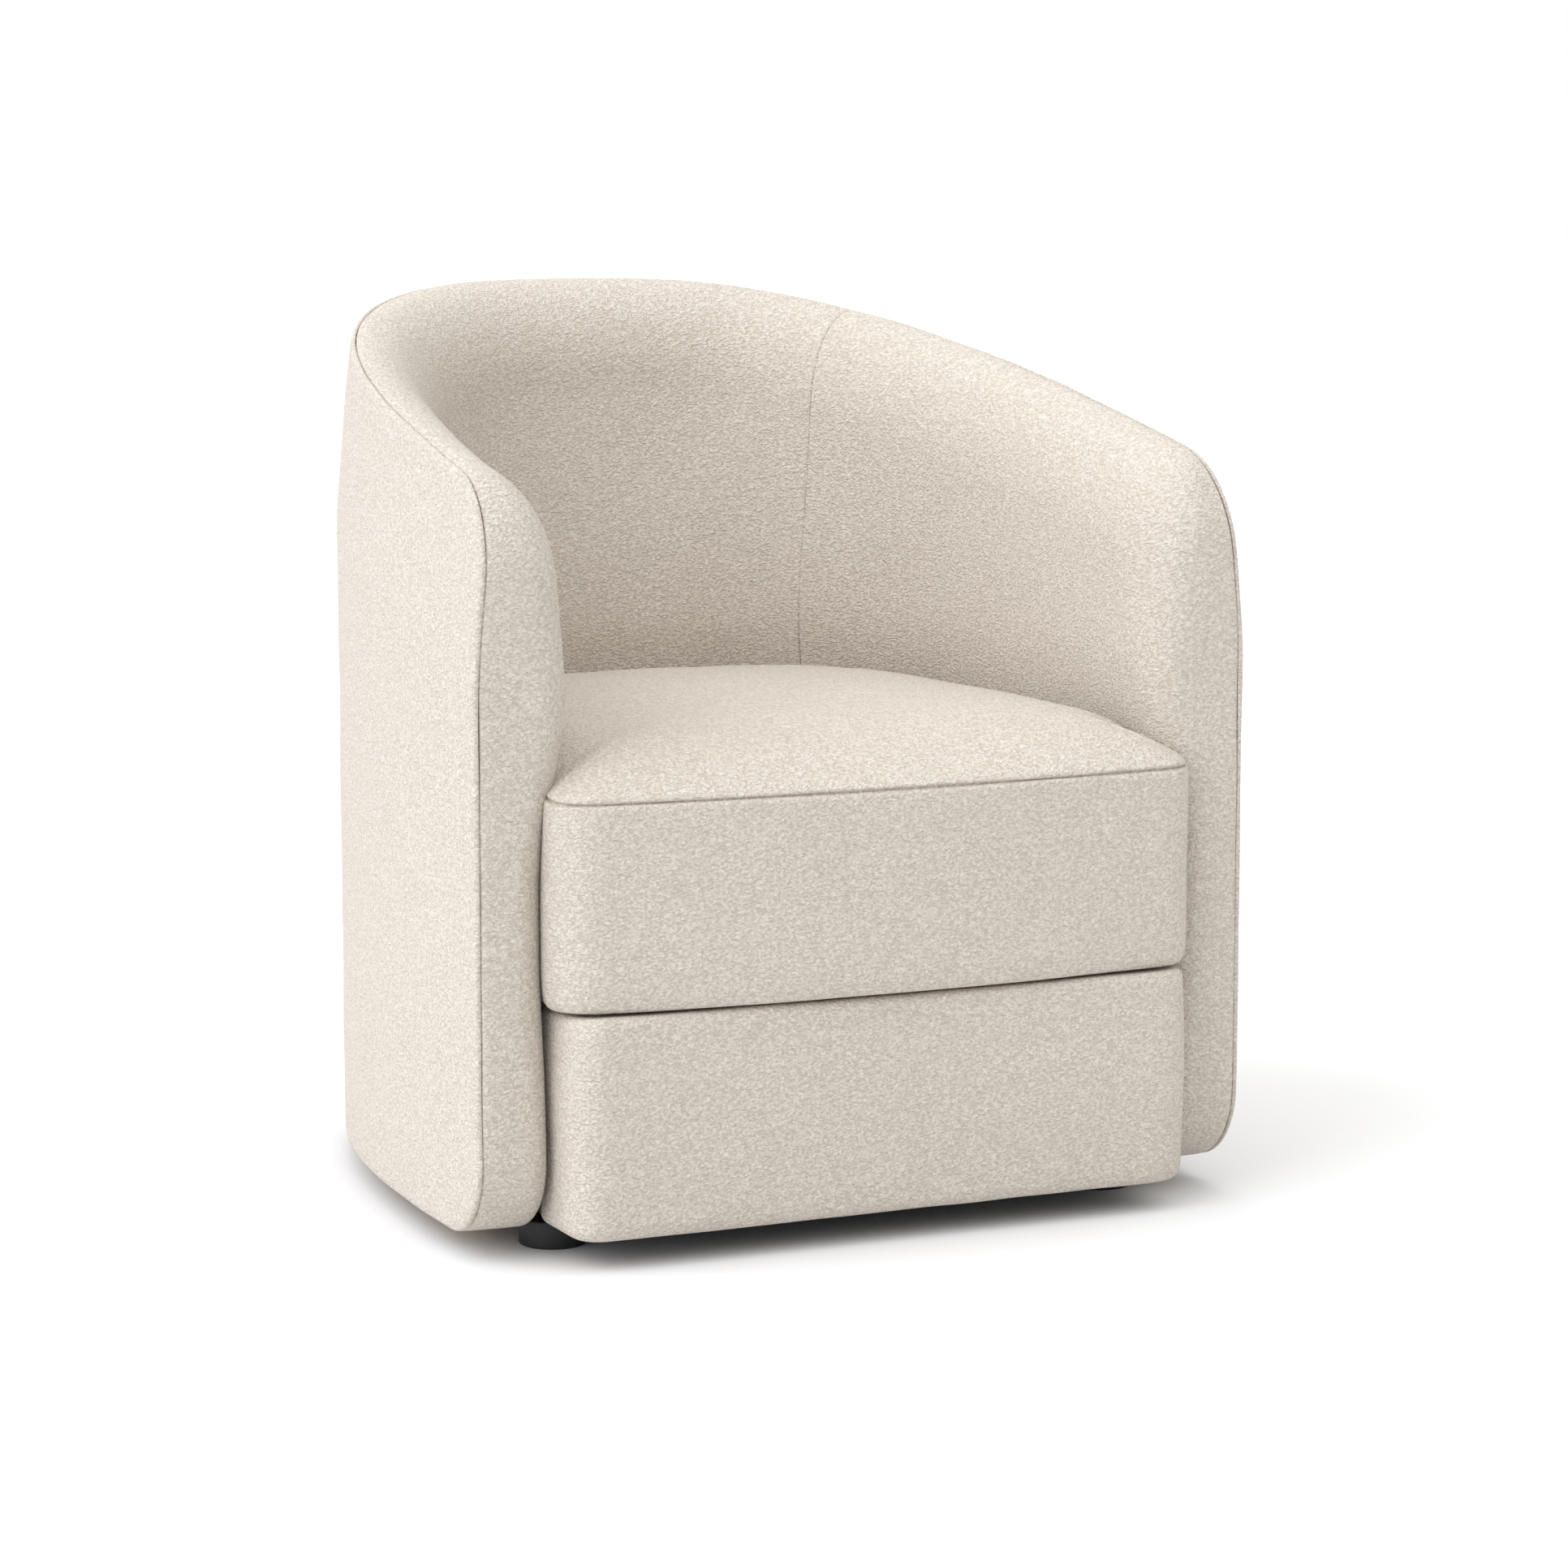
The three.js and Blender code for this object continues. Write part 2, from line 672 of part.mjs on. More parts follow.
function makeBolts() {
  const names = ['left_1', 'left_2', 'right_1', 'right_2'];
  const shankLength = ringInside + boltSeatGap - boltEnd;
  const profile = [
    [0, 0], [boltRadius, 0], [boltRadius, shankLength], [boltHeadRadius, shankLength],
    [boltHeadRadius, shankLength + boltHeadHeight], [0, shankLength + boltHeadHeight],
  ].map(([r, h]) => new THREE.Vector2(r, h));
  allBoltPlaces.forEach((s, i) => {
    const place = wallPlace(s, boltEnd);
    const bolt = addPiece(`frame_bolt_${names[i]}`, new THREE.LatheGeometry(profile, 12), steel);
    bolt.position.set(place.x, place.y, boltHeight);
    bolt.rotation.z = Math.atan2(place.ny, place.nx) - Math.PI / 2;
  });
}

// ---- Springs and deck ----

class ZigzagLine extends THREE.Curve {
  constructor(x, start, end) {
    super();
    this.x = x;
    this.start = start;
    this.end = end;
  }

  getPoint(t, target = new THREE.Vector3()) {
    const swing = springSwing * Math.sin(Math.PI * springBends * t);
    return target.set(this.x + swing, this.start + (this.end - this.start) * t, springHeight);
  }
}

function wireAlong(curve, radius, steps) {
  const section = new THREE.Shape(new THREE.EllipseCurve(0, 0, radius, radius).getPoints(5));
  return new THREE.ExtrudeGeometry(section, { extrudePath: curve, steps, bevelEnabled: false });
}

function makeSprings() {
  const start = (frontRailFront + frontRailBack) / 2;
  const end = (crossRailFront + crossRailBack) / 2;
  for (let i = 0; i < springCount; i++) {
    const x = (i - (springCount - 1) / 2) * springSpacing;
    const line = new ZigzagLine(x, start, end);
    addPiece(`seat_spring_${i + 1}`, wireAlong(line, springWire / 2, springBends * 3), steel);
  }
}

// The space for the seat seen from above, between the arms and up to the back padding.
function pocketSide(inset, from = 0) {
  return wallStops(from, wallLength - from).map((s) => {
    const place = wallPlace(s, wallThickness(s, 'pocket') + inset);
    return [place.x, place.y];
  });
}

function deckOutline(frontInset, sideInset) {
  const start = baseReturn + 8;
  return [...baseFront(frontInset, armFrontY + start), ...pocketSide(sideInset, start).reverse()];
}

function makeDeck() {
  const padTop = cushionFloor - deckClothThickness - fitGap;
  addPiece('deck_pad', plate(deckOutline(frontRailInset, 1.5), paddingBottom, padTop), greyFelt);
  const clothBottom = padTop + fitGap;
  addPiece('deck_cloth', plate(deckOutline(coverThickness, 1.2), clothBottom, cushionFloor), ivoryFabric);
}

function makeDustCover() {
  const sides = wallStops(ringStart, wallLength - ringStart).map((s) => {
    const place = wallPlace(s, ringInside - 8);
    return [place.x, place.y];
  });
  const outline = [...baseFront(frontRailInset + 1, armFrontY + ringStart - 2), ...sides.reverse()];
  const sheet = plate(outline, footHeight + fitGap, seatFrameBottom - fitGap);
  addPiece('dust_cover', cut(sheet, ...screwHoles()), blackCloth);
}

// ---- Padded base ----

// A band round the front of the base: its outside and then, back again, its inside.
function baseBand(inset, thickness) {
  const back = armFrontY + baseReturn;
  return [...baseFront(inset, back), ...baseFront(inset + thickness, back).reverse()];
}

function makeBase() {
  const top = cushionFloor - deckClothThickness - fitGap;
  const paddingInset = coverThickness + fitGap;
  const boardInset = paddingInset + basePadding + fitGap;
  addPiece('base_cover', plate(baseBand(0, coverThickness), baseBottom, top), ivoryFabric);
  addPiece('base_padding', plate(baseBand(paddingInset, basePadding), baseBottom + 1, top), foam);
  addPiece('base_board', plate(baseBand(boardInset, boardThickness), baseBottom + 1, top), plywood);
}

// ---- Feet ----

function makeFeet() {
  const bevel = 2;
  const socket = screwHeadRadius + 1;
  const socketDepth = 9;
  const bore = screwRadius + holeClearance;
  const footProfile = [
    [bore, socketDepth], [socket, socketDepth], [socket, 0], [footRadius - bevel, 0],
    [footRadius, bevel], [footRadius, footHeight], [bore, footHeight], [bore, socketDepth],
  ].map(([r, h]) => new THREE.Vector2(r, h));
  const screwBottom = socketDepth - screwHeadHeight - fitGap;
  const screwProfile = [
    [0, 0], [screwHeadRadius, 0], [screwHeadRadius, screwHeadHeight], [screwRadius, screwHeadHeight],
    [screwRadius, screwLength + screwHeadHeight + 8], [0, screwLength + screwHeadHeight + 12],
  ].map(([r, h]) => new THREE.Vector2(r, h));
  for (const [place, x, y] of feet) {
    const foot = addPiece(`foot_${place}`, new THREE.LatheGeometry(footProfile, 24), blackPlastic);
    foot.rotation.x = Math.PI / 2;
    foot.position.set(x, y, 0);
    const screw = addPiece(`foot_screw_${place}`, new THREE.LatheGeometry(screwProfile, 10), steel);
    screw.rotation.x = Math.PI / 2;
    screw.position.set(x, y, screwBottom);
  }
}

// ---- Seat cushion ----

function cushionOutline(inset, scale = 1) {
  const halfWidth = width / 2 - armPocketThickness - cushionSideGap - inset;
  const radius = Math.max(cushionCornerRadius - inset, 4);
  const cornerFront = armFrontY - cushionProud + cushionBow + inset;
  const cornerY = cornerFront + radius;
  const sides = pocketSide(cushionSideGap + inset, Math.max(cornerY - armFrontY, 0) + 4);
  const bow = [];
  const bowSteps = 6;
  for (let i = 1; i < bowSteps; i++) {
    const across = 2 * i / bowSteps - 1;
    bow.push([(halfWidth - radius) * across, cornerFront - cushionBow * (1 - across ** 2)]);
  }
  const outline = [
    ...quarterArc(-halfWidth + radius, cornerY, radius, Math.PI),
    ...bow,
    ...quarterArc(halfWidth - radius, cornerY, radius, Math.PI * 1.5),
    ...sides.reverse(),
  ];
  const middleY = armFrontY + (wallDepth - crossRailPlace) / 2 - cushionProud;
  return outline.map(([x, y]) => [x * scale, middleY + (y - middleY) * scale]);
}

function cushionSolid(inset) {
  const bottom = cushionBottom + inset;
  const edge = cushionSeam - inset;
  const crown = cushionCrown - inset;
  return stack([
    { outline: cushionOutline(inset + cushionRoll * 0.7), z: bottom },
    { outline: cushionOutline(inset + cushionRoll * 0.2), z: bottom + cushionRoll * 0.4 },
    { outline: cushionOutline(inset), z: bottom + cushionRoll },
    { outline: cushionOutline(inset), z: edge },
    { outline: cushionOutline(inset + 8), z: edge + 9 },
    { outline: cushionOutline(inset + 8, 0.92), z: edge + (crown - edge) * 0.55 },
    { outline: cushionOutline(inset + 8, 0.7), z: edge + (crown - edge) * 0.88 },
    { outline: cushionOutline(inset + 8, 0.4), z: crown },
  ]);
}

function makeCushion() {
  addPiece('cushion_core', cushionSolid(coverThickness + fitGap), foam);
  const backY = armFrontY + wallDepth - backPocketThickness;
  const zipSpace = (clearance) => block(
    -zipLength / 2 - clearance, zipLength / 2 + clearance, backY - 60, backY + 40,
    zipHeight - zipWidth / 2 - clearance, zipHeight + zipWidth / 2 + clearance,
  );
  const shell = cut(cushionSolid(0), cushionSolid(coverThickness));
  addPiece('cushion_cover', cut(shell, zipSpace(fitGap)), ivoryFabric);
  addPiece('cushion_zip', common(shell, zipSpace(0)), blackPlastic);
}

makeOuterCover();
makeOuterLayers();
makeWallFrame();
makeInnerBoard();
makeInnerPadding();
makeInnerCovers();
makeSeatFrame();
makeBolts();
makeSprings();
makeDeck();
makeDustCover();
makeBase();
makeFeet();
makeCushion();

export default chair;
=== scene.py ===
import bisect
import math

import bmesh
import bpy
import numpy as np
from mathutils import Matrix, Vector, noise


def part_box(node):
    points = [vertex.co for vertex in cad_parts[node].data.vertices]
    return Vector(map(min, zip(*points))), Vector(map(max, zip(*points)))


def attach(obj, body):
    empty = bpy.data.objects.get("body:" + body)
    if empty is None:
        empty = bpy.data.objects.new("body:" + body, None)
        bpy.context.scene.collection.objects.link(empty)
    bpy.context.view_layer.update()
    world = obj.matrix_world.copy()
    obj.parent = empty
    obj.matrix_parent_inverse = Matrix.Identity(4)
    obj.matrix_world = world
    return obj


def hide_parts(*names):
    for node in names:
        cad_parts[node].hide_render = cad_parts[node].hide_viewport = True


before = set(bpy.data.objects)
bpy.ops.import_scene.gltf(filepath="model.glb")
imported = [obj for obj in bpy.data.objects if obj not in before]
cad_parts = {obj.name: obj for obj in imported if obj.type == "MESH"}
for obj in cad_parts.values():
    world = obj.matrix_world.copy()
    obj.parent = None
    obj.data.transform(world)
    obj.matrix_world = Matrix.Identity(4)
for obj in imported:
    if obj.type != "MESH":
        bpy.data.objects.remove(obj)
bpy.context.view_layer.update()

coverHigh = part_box("outer_cover")[1]
innerLow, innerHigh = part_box("inner_cover_back")
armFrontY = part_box("inner_cover_left")[0].y
skirtBottom = innerLow.z      # the inner cover ends here, over the seat frame


# modelling helpers

def deselectAll():
    if bpy.context.object and bpy.context.object.mode != 'OBJECT':
        bpy.ops.object.mode_set(mode='OBJECT')
    bpy.ops.object.select_all(action='DESELECT')


def pick(piece):
    deselectAll()
    piece.select_set(True)
    bpy.context.view_layer.objects.active = piece


def bendGrid(columns, rows, place):
    # a flat grid whose vertex (i, j) goes to place(i, j)
    deselectAll()
    bpy.ops.mesh.primitive_grid_add(x_subdivisions=columns, y_subdivisions=rows, size=1)
    sheet = bpy.context.object
    for vertex in sheet.data.vertices:
        i = round((vertex.co.x + .5) * columns)
        j = round((vertex.co.y + .5) * rows)
        vertex.co = place(i, j)
    return sheet


def joinAll(parts, mergeWithin=2e-5):
    deselectAll()
    for part in parts:
        part.select_set(True)
    bpy.context.view_layer.objects.active = parts[0]
    if len(parts) > 1:
        bpy.ops.object.join()
    bpy.ops.object.mode_set(mode='EDIT')
    bpy.ops.mesh.select_all(action='SELECT')
    bpy.ops.mesh.remove_doubles(threshold=mergeWithin)
    bpy.ops.mesh.normals_make_consistent(inside=False)
    bpy.ops.object.mode_set(mode='OBJECT')
    return bpy.context.object


def applyModifier(piece, kind, **settings):
    pick(piece)
    bpy.ops.object.modifier_add(type=kind)
    modifier = piece.modifiers[-1]
    for key, value in settings.items():
        setattr(modifier, key, value)
    bpy.ops.object.modifier_apply(modifier=modifier.name)


def subdivide(piece, levels=1):
    applyModifier(piece, 'SUBSURF', levels=levels, render_levels=levels, boundary_smooth='PRESERVE_CORNERS')


def faceOutwards(piece, outside):
    # turns all the faces over if those nearest the point outside look away from it
    nearest = min(piece.data.polygons, key=lambda face: (face.center - outside).length)
    if nearest.normal.dot(outside - nearest.center) < 0:
        pick(piece)
        bpy.ops.object.mode_set(mode='EDIT')
        bpy.ops.mesh.select_all(action='SELECT')
        bpy.ops.mesh.flip_normals()
        bpy.ops.object.mode_set(mode='OBJECT')


def copyMirrored(piece, name):
    pick(piece)
    bpy.ops.object.duplicate()
    twin = bpy.context.object
    twin.name = twin.data.name = name
    bpy.ops.transform.mirror(constraint_axis=(True, False, False), orient_type='GLOBAL', center_override=(0, 0, 0))
    bpy.ops.object.transform_apply(location=True, rotation=True, scale=True)
    bpy.ops.object.mode_set(mode='EDIT')
    bpy.ops.mesh.select_all(action='SELECT')
    bpy.ops.mesh.normals_make_consistent(inside=False)
    bpy.ops.object.mode_set(mode='OBJECT')
    return twin


def unevenSurface(piece, amount, size, seed):
    # small slow hollows and swellings, as padding has
    normals = [vertex.normal.copy() for vertex in piece.data.vertices]
    for vertex, normal in zip(piece.data.vertices, normals):
        vertex.co += normal * amount * noise.noise(vertex.co / size + Vector((seed, 0, 0)))
    piece.data.update()


def finishFabric(piece, name, material, thickness):
    piece.name = piece.data.name = name
    if thickness:
        applyModifier(piece, 'SOLIDIFY', thickness=thickness, offset=-1)
    pick(piece)
    bpy.ops.object.shade_smooth()
    piece.data.materials.clear()
    piece.data.materials.append(material)
    return piece


def smoothStep(low, high, value):
    t = min(max((value - low) / (high - low), 0), 1)
    return t * t * (3 - 2 * t)


def mix(a, b, share):
    return a + (b - a) * share


# shader helpers

class Value:
    # a shader socket that Python's operators work on
    def __init__(self, shader, socket):
        self.shader = shader
        self.socket = socket

    def maths(self, operation, *others):
        return self.shader.add('Math', {"operation": operation}, {0: self, **dict(enumerate(others, 1))})

    def __add__(self, other):
        return self.maths('ADD', other)

    def __mul__(self, other):
        return self.maths('MULTIPLY', other)

    def __rsub__(self, other):
        return self.shader.add('Math', {"operation": 'SUBTRACT'}, {0: other, 1: self})

    __radd__ = __add__
    __rmul__ = __mul__


class Shader:
    # one material and its nodes
    def __init__(self, name):
        self.material = bpy.data.materials.new(name)
        self.material.use_nodes = True
        self.nodes = self.material.node_tree.nodes
        self.links = self.material.node_tree.links
        self.surface = self.nodes["Principled BSDF"]

    def add(self, kind, settings=None, values=None, output=0):
        node = self.nodes.new('ShaderNode' + kind)
        for key, value in (settings or {}).items():
            if key == "stops":
                ramp = node.color_ramp
                while len(ramp.elements) < len(value):
                    ramp.elements.new(.5)
                for element, (position, colour) in zip(ramp.elements, value):
                    element.position = position
                    element.color = (*colour, 1)
            else:
                setattr(node, key, value)
        for key, value in (values or {}).items():
            self.plug(node.inputs[key], value)
        return Value(self, node.outputs[output])

    def plug(self, socket, value):
        if isinstance(value, Value):
            self.links.new(value.socket, socket)
        else:
            socket.default_value = value

    def set(self, **values):
        for key, value in values.items():
            self.plug(self.surface.inputs[key.replace('_', ' ')], value)

    def position(self, scale=(1, 1, 1), rotation=(0, 0, 0)):
        place = self.add('TexCoord', output="Object")
        return self.add('Mapping', values={"Vector": place, "Scale": scale, "Rotation": rotation})

    def noise(self, position, scale, detail=2, roughness=.5, distortion=0):
        return self.add('TexNoise', values={
            "Vector": position, "Scale": scale, "Detail": detail,
            "Roughness": roughness, "Distortion": distortion,
        })

    def blend(self, share, first, second):
        return self.add('Mix', {"data_type": 'RGBA'}, {0: share, 6: first, 7: second}, output=2)

    def bump(self, height, distance, strength=1.0):
        self.set(Normal=self.add('Bump', values={"Height": height, "Distance": distance, "Strength": strength}))


# finishes

boucleLook = {
    "light": (.800, .738, .662, 1),
    # the next colour is painted shade: it darkens the hollows between the loops, where shade falls
    "paintedPitShade": (.555, .495, .424, 1),
    "warm": (.780, .714, .636, 1),
    "loopScale": 380,           # loops to a metre
    "loopFlatten": 1.7,         # loops lie wider than they are tall
    "wander": .0016,
    "bumpDepth": .0034,
    "patchScale": 9,            # slow drift between the light and the warm colour
}


def makeBoucle():
    look = boucleLook
    shader = Shader("ivoryBoucle")
    place = shader.position()
    stray = shader.add('TexNoise', values={"Vector": place, "Scale": 260, "Detail": 2}, output="Color")
    stray = shader.add('VectorMath', {"operation": 'SUBTRACT'}, {0: stray, 1: (.5, .5, .5)})
    stray = shader.add('VectorMath', {"operation": 'SCALE'}, {0: stray, "Scale": look["wander"] * 2})
    bent = shader.add('VectorMath', {"operation": 'ADD'}, {0: place, 1: stray})
    bent = shader.add('Mapping', values={"Vector": bent, "Scale": (1, 1, look["loopFlatten"])})
    loops = shader.add('TexVoronoi', {"feature": 'SMOOTH_F1'}, {
        "Vector": bent, "Scale": look["loopScale"], "Smoothness": .5, "Randomness": 1,
    })
    tangle = shader.noise(bent, look["loopScale"] * .6, detail=4, roughness=.62)
    fibres = shader.noise(place, look["loopScale"] * 3.5, detail=2)
    height = (1 - loops) * .5 + tangle * .7 + fibres * .12
    shader.bump(height, look["bumpDepth"], .9)
    # painted shade: where the loops' height is low, the colour turns to the darker shade colour, as if shaded in the
    # hollows
    paintedShadeMask = shader.add('MapRange', {"interpolation_type": 'SMOOTHSTEP'}, {0: height, 1: .48, 2: .92})
    patches = shader.noise(place, look["patchScale"], detail=3)
    tone = shader.add('MapRange', values={0: patches, 1: .35, 2: .65})
    base = shader.blend(tone * .35, look["light"], look["warm"])
    shader.set(
        Base_Color=shader.blend(paintedShadeMask, look["paintedPitShade"], base),
        Roughness=.94, Sheen_Weight=.16, Sheen_Roughness=.5, Specular_IOR_Level=.10,
    )
    shader.surface.inputs["Sheen Tint"].default_value = (1, .98, .95, 1)
    return shader.material


def makePlywood():
    shader = Shader("birchPlywood")
    place = shader.position()
    ply = shader.add('TexWave', {"bands_direction": 'Z', "wave_profile": 'SIN'}, {
        "Vector": place, "Scale": 110, "Distortion": 1.5, "Detail": 2, "Detail Scale": 3,
    })
    grain = shader.noise(shader.position((4, 4, 60)), 22, detail=5, roughness=.6, distortion=.4)
    wood = shader.blend(grain, (.62, .44, .25, 1), (.42, .27, .13, 1))
    shader.set(Base_Color=shader.blend(ply * .25, wood, (.30, .18, .09, 1)), Roughness=grain * .2 + .55)
    shader.bump(grain * .6 + ply * .2, .0006, .5)
    return shader.material


def makeHardboard():
    shader = Shader("brownHardboard")
    fibre = shader.noise(shader.position((1, 1, 2.5)), 260, detail=5, roughness=.7)
    shader.set(Base_Color=shader.blend(fibre, (.20, .11, .055, 1), (.34, .21, .11, 1)), Roughness=fibre * .2 + .65)
    shader.bump(fibre, .0004, .5)
    return shader.material


def makeFoam():
    shader = Shader("seatFoam")
    place = shader.position()
    pores = shader.add('TexVoronoi', {"feature": 'F1'}, {"Vector": place, "Scale": 520})
    drift = shader.noise(place, 14, detail=3)
    foam = shader.blend(drift, (.86, .73, .42, 1), (.78, .62, .33, 1))
    # painted shade: the colour darkens to brown in the pore hollows, where the bump sinks the surface
    shader.set(Base_Color=shader.blend(1 - pores, foam, (.55, .40, .20, 1)), Roughness=.92, Specular_IOR_Level=.15)
    shader.bump(pores, .0010, .7)
    return shader.material


def makeWadding():
    shader = Shader("polyesterWadding")
    strands = shader.noise(shader.position((1, 1, 3)), 190, detail=6, roughness=.75, distortion=1.2)
    shader.set(Base_Color=shader.blend(strands, (.72, .72, .70, 1), (.92, .92, .90, 1)), Roughness=.95, Sheen_Weight=.4)
    shader.bump(strands, .0020, .7)
    return shader.material


def makeSteel():
    shader = Shader("zincPlatedSteel")
    place = shader.position()
    spangle = shader.add('TexVoronoi', {"feature": 'F1'}, {"Vector": place, "Scale": 260})
    wear = shader.noise(place, 420, detail=4)
    shader.set(
        Base_Color=shader.blend(wear, (.52, .54, .56, 1), (.70, .71, .72, 1)),
        Metallic=1.0, Roughness=spangle * .12 + wear * .15 + .22,
    )
    shader.bump(wear, .0002, .3)
    return shader.material


def makeFootPlastic():
    shader = Shader("blackGlidePlastic")
    place = shader.position()
    orange = shader.noise(place, 900, detail=3)
    scuffs = shader.noise(shader.position((1, 1, 9)), 60, detail=5, roughness=.7)
    shader.set(
        Base_Color=shader.blend(scuffs, (.010, .010, .011, 1), (.022, .021, .021, 1)),
        Roughness=scuffs * .25 + .38,
    )
    shader.bump(orange, .00025, .4)
    return shader.material


def makeWovenCloth(name, dark, pale, threads):
    # a plain weave in x and y, for cloth that lies level
    shader = Shader(name)
    place = shader.position()
    ends = shader.add('TexWave', {"bands_direction": 'X'}, {"Vector": place, "Scale": threads, "Distortion": .4})
    picks = shader.add('TexWave', {"bands_direction": 'Y'}, {"Vector": place, "Scale": threads, "Distortion": .4})
    weave = ends * .5 + picks * .5
    lint = shader.noise(place, 160, detail=4, roughness=.7)
    shader.set(
        Base_Color=shader.blend(lint * .6 + weave * .3, (*dark, 1), (*pale, 1)),
        Roughness=.93, Sheen_Weight=.15,
    )
    shader.bump(weave * .7 + lint * .3, .0005, .6)
    return shader.material


def makeFelt():
    shader = Shader("greyNeedleFelt")
    fluff = shader.noise(shader.position(), 420, detail=6, roughness=.8, distortion=.8)
    shader.set(Base_Color=shader.blend(fluff, (.20, .20, .19, 1), (.42, .41, .40, 1)), Roughness=.97, Sheen_Weight=.3)
    shader.bump(fluff, .0012, .7)
    return shader.material


boucle = makeBoucle()
plywood = makePlywood()
steel = makeSteel()
footPlastic = makeFootPlastic()
dustCloth = makeWovenCloth("blackDustCloth", (.008, .008, .009), (.030, .030, .031), 330)
cadFinishes = {
    "wadding": makeWadding(), "padding": makeFoam(), "core": makeFoam(), "board": makeHardboard(),
    "base_board": plywood, "bolt": steel, "screw": steel, "spring": steel,
    "deck_pad": makeFelt(), "foot_front": footPlastic, "foot_rear": footPlastic,
    "cover": boucle, "deck_cloth": boucle,
    "dust": dustCloth,
    "zip": makeWovenCloth("blackZipTape", (.010, .010, .010), (.045, .044, .042), 520),
}
for nodeName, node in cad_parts.items():
    finish = plywood
    for word, material in cadFinishes.items():
        if word in nodeName:
            finish = material
    node.data.materials.clear()
    node.data.materials.append(finish)
print("finishes ready")


# the padded wall
# s runs round the outside from the left arm front to the middle of the back,
# d goes in from the outside, and a is the distance from the edge seam, as seen from the side.

wall = {
    "squareness": 2.66,
    "armStraight": .020,
    "armTopRadius": .090,
    "armBottomRadius": .070,
    "bottom": .020,
    "rimFront": .626,
    "rimBack": innerHigh.z,
    "halfWidth": coverHigh.x,
    "backY": coverHigh.y,
    "lean": .014,              # how far the outside leans in at the rim
    "leanDepth": .160,
    "spacing": .010,
    "seamDrop": .0013,
}

inside = {
    "armLow": .064, "armFull": .090,       # arm thickness beside the cushion and above it
    "armSwellFrom": .30, "armSwellTo": .48,
    "backLow": .154, "backTop": .104,
    "reclineFrom": .45,
    "backBlend": (.22, .46),
    "rimCrest": .028, "rimRoll": .096, "frontRoll": .030, "underRoll": .008,
    "seamShare": .322,                     # the upright seams, as shares of the way round
    "skirtColumns": 3,
}

fabric = {"thickness": .0014, "uneven": .0009, "unevenSize": .075, "seamReach": .0034, "seamTuck": .0008}

halfWidth = wall["halfWidth"]
curveDepth = wall["backY"] - armFrontY - wall["armStraight"]
rimSlope = (wall["rimBack"] - wall["rimFront"]) / (wall["backY"] - armFrontY)
rimAngle = math.atan(rimSlope)


def makeWallTable(steps=1200):
    rows = [(0, -halfWidth, armFrontY, 1, 0)]
    power = wall["squareness"]
    for step in range(steps + 1):
        angle = math.pi / 2 * step / steps
        across = max(math.cos(angle), 0) ** (2 / power)
        back = math.sin(angle) ** (2 / power)
        x = -halfWidth * across
        y = armFrontY + wall["armStraight"] + curveDepth * back
        normal = Vector((across ** (power - 1) / halfWidth, -back ** (power - 1) / curveDepth)).normalized()
        s = rows[-1][0] + math.hypot(x - rows[-1][1], y - rows[-1][2])
        rows.append((s, x, y, *normal))
    return rows


wallTable = makeWallTable()
wallStarts = [row[0] for row in wallTable]
halfLength = wallStarts[-1]


def wallRow(s):
    k = min(max(bisect.bisect_right(wallStarts, s) - 1, 0), len(wallTable) - 2)
    first, second = wallTable[k], wallTable[k + 1]
    share = min(max((s - first[0]) / max(second[0] - first[0], 1e-9), 0), 1)
    return [mix(a, b, share) for a, b in zip(first[1:], second[1:])]


def wallPoint(s, d, z):
    x, y, nx, ny = wallRow(max(s, 0))
    return Vector((x + nx * d, y + ny * d + min(s, 0), z))


def rimHeight(s):
    return wall["rimFront"] + rimSlope * (wallRow(s)[1] - armFrontY)


def leanAt(s, z):
    below = max(rimHeight(s) - z, 0)
    return wall["lean"] * max(1 - below / wall["leanDepth"], 0) ** 1.3


def insideDepth(s, z):
    toBack = smoothStep(*inside["backBlend"], s / halfLength / 2)
    swell = smoothStep(inside["armSwellFrom"], inside["armSwellTo"], z)
    arm = mix(inside["armLow"], inside["armFull"], swell)
    rollEnd = rimHeight(s) - inside["rimRoll"]
    climb = min(max((z - inside["reclineFrom"]) / (rollEnd - inside["reclineFrom"]), 0), 1)
    climb = mix(climb, smoothStep(0, 1, climb), .4)
    back = mix(inside["backLow"], inside["backTop"], climb)
    return mix(arm, back, toBack)


topCentre = (wall["armTopRadius"], wall["rimFront"] + rimSlope * wall["armTopRadius"]
             - wall["armTopRadius"] / math.cos(rimAngle))
bottomCentre = (wall["armBottomRadius"], wall["bottom"] + wall["armBottomRadius"])
cornerTurn = math.pi / 2 - rimAngle
acrossCount = 34
aroundCount = round((halfLength - topCentre[0]) / wall["spacing"])
cornerCount = 14
bottomCornerCount = 12


def innerCross(k, reach, edgeWeight, s0, z0):
    # the k-th point of a cross line: (a, d) from the seam, over the edge and down the inside
    full = insideDepth(s0, z0)
    if edgeWeight < 0:
        roll = mix(inside["frontRoll"], inside["underRoll"], -edgeWeight)
        crest = full - roll
    else:
        roll = mix(inside["frontRoll"], inside["rimRoll"], edgeWeight)
        crest = mix(full - inside["frontRoll"], inside["rimCrest"], edgeWeight)
    drop = wall["seamDrop"]
    edge = [(drop + .0040, .0052), (drop + .0014, .0053), (drop + .0003, .0060), (drop * .6, .0080)]
    crownCount = 5
    if k < len(edge):
        return edge[k]
    if k < len(edge) + crownCount:
        share = (k - len(edge) + 1) / (crownCount + 1)
        d = mix(edge[-1][1], crest, share)
        return drop * .6 * (1 - share) ** 2, d
    t = (k - len(edge) - crownCount) / (acrossCount - len(edge) - crownCount)
    a = reach * t * t * (1.6 - .6 * t)
    turned = min(a / roll, 1)
    return a, (crest, math.sqrt(max(1 - (1 - turned) ** 2, 0)))


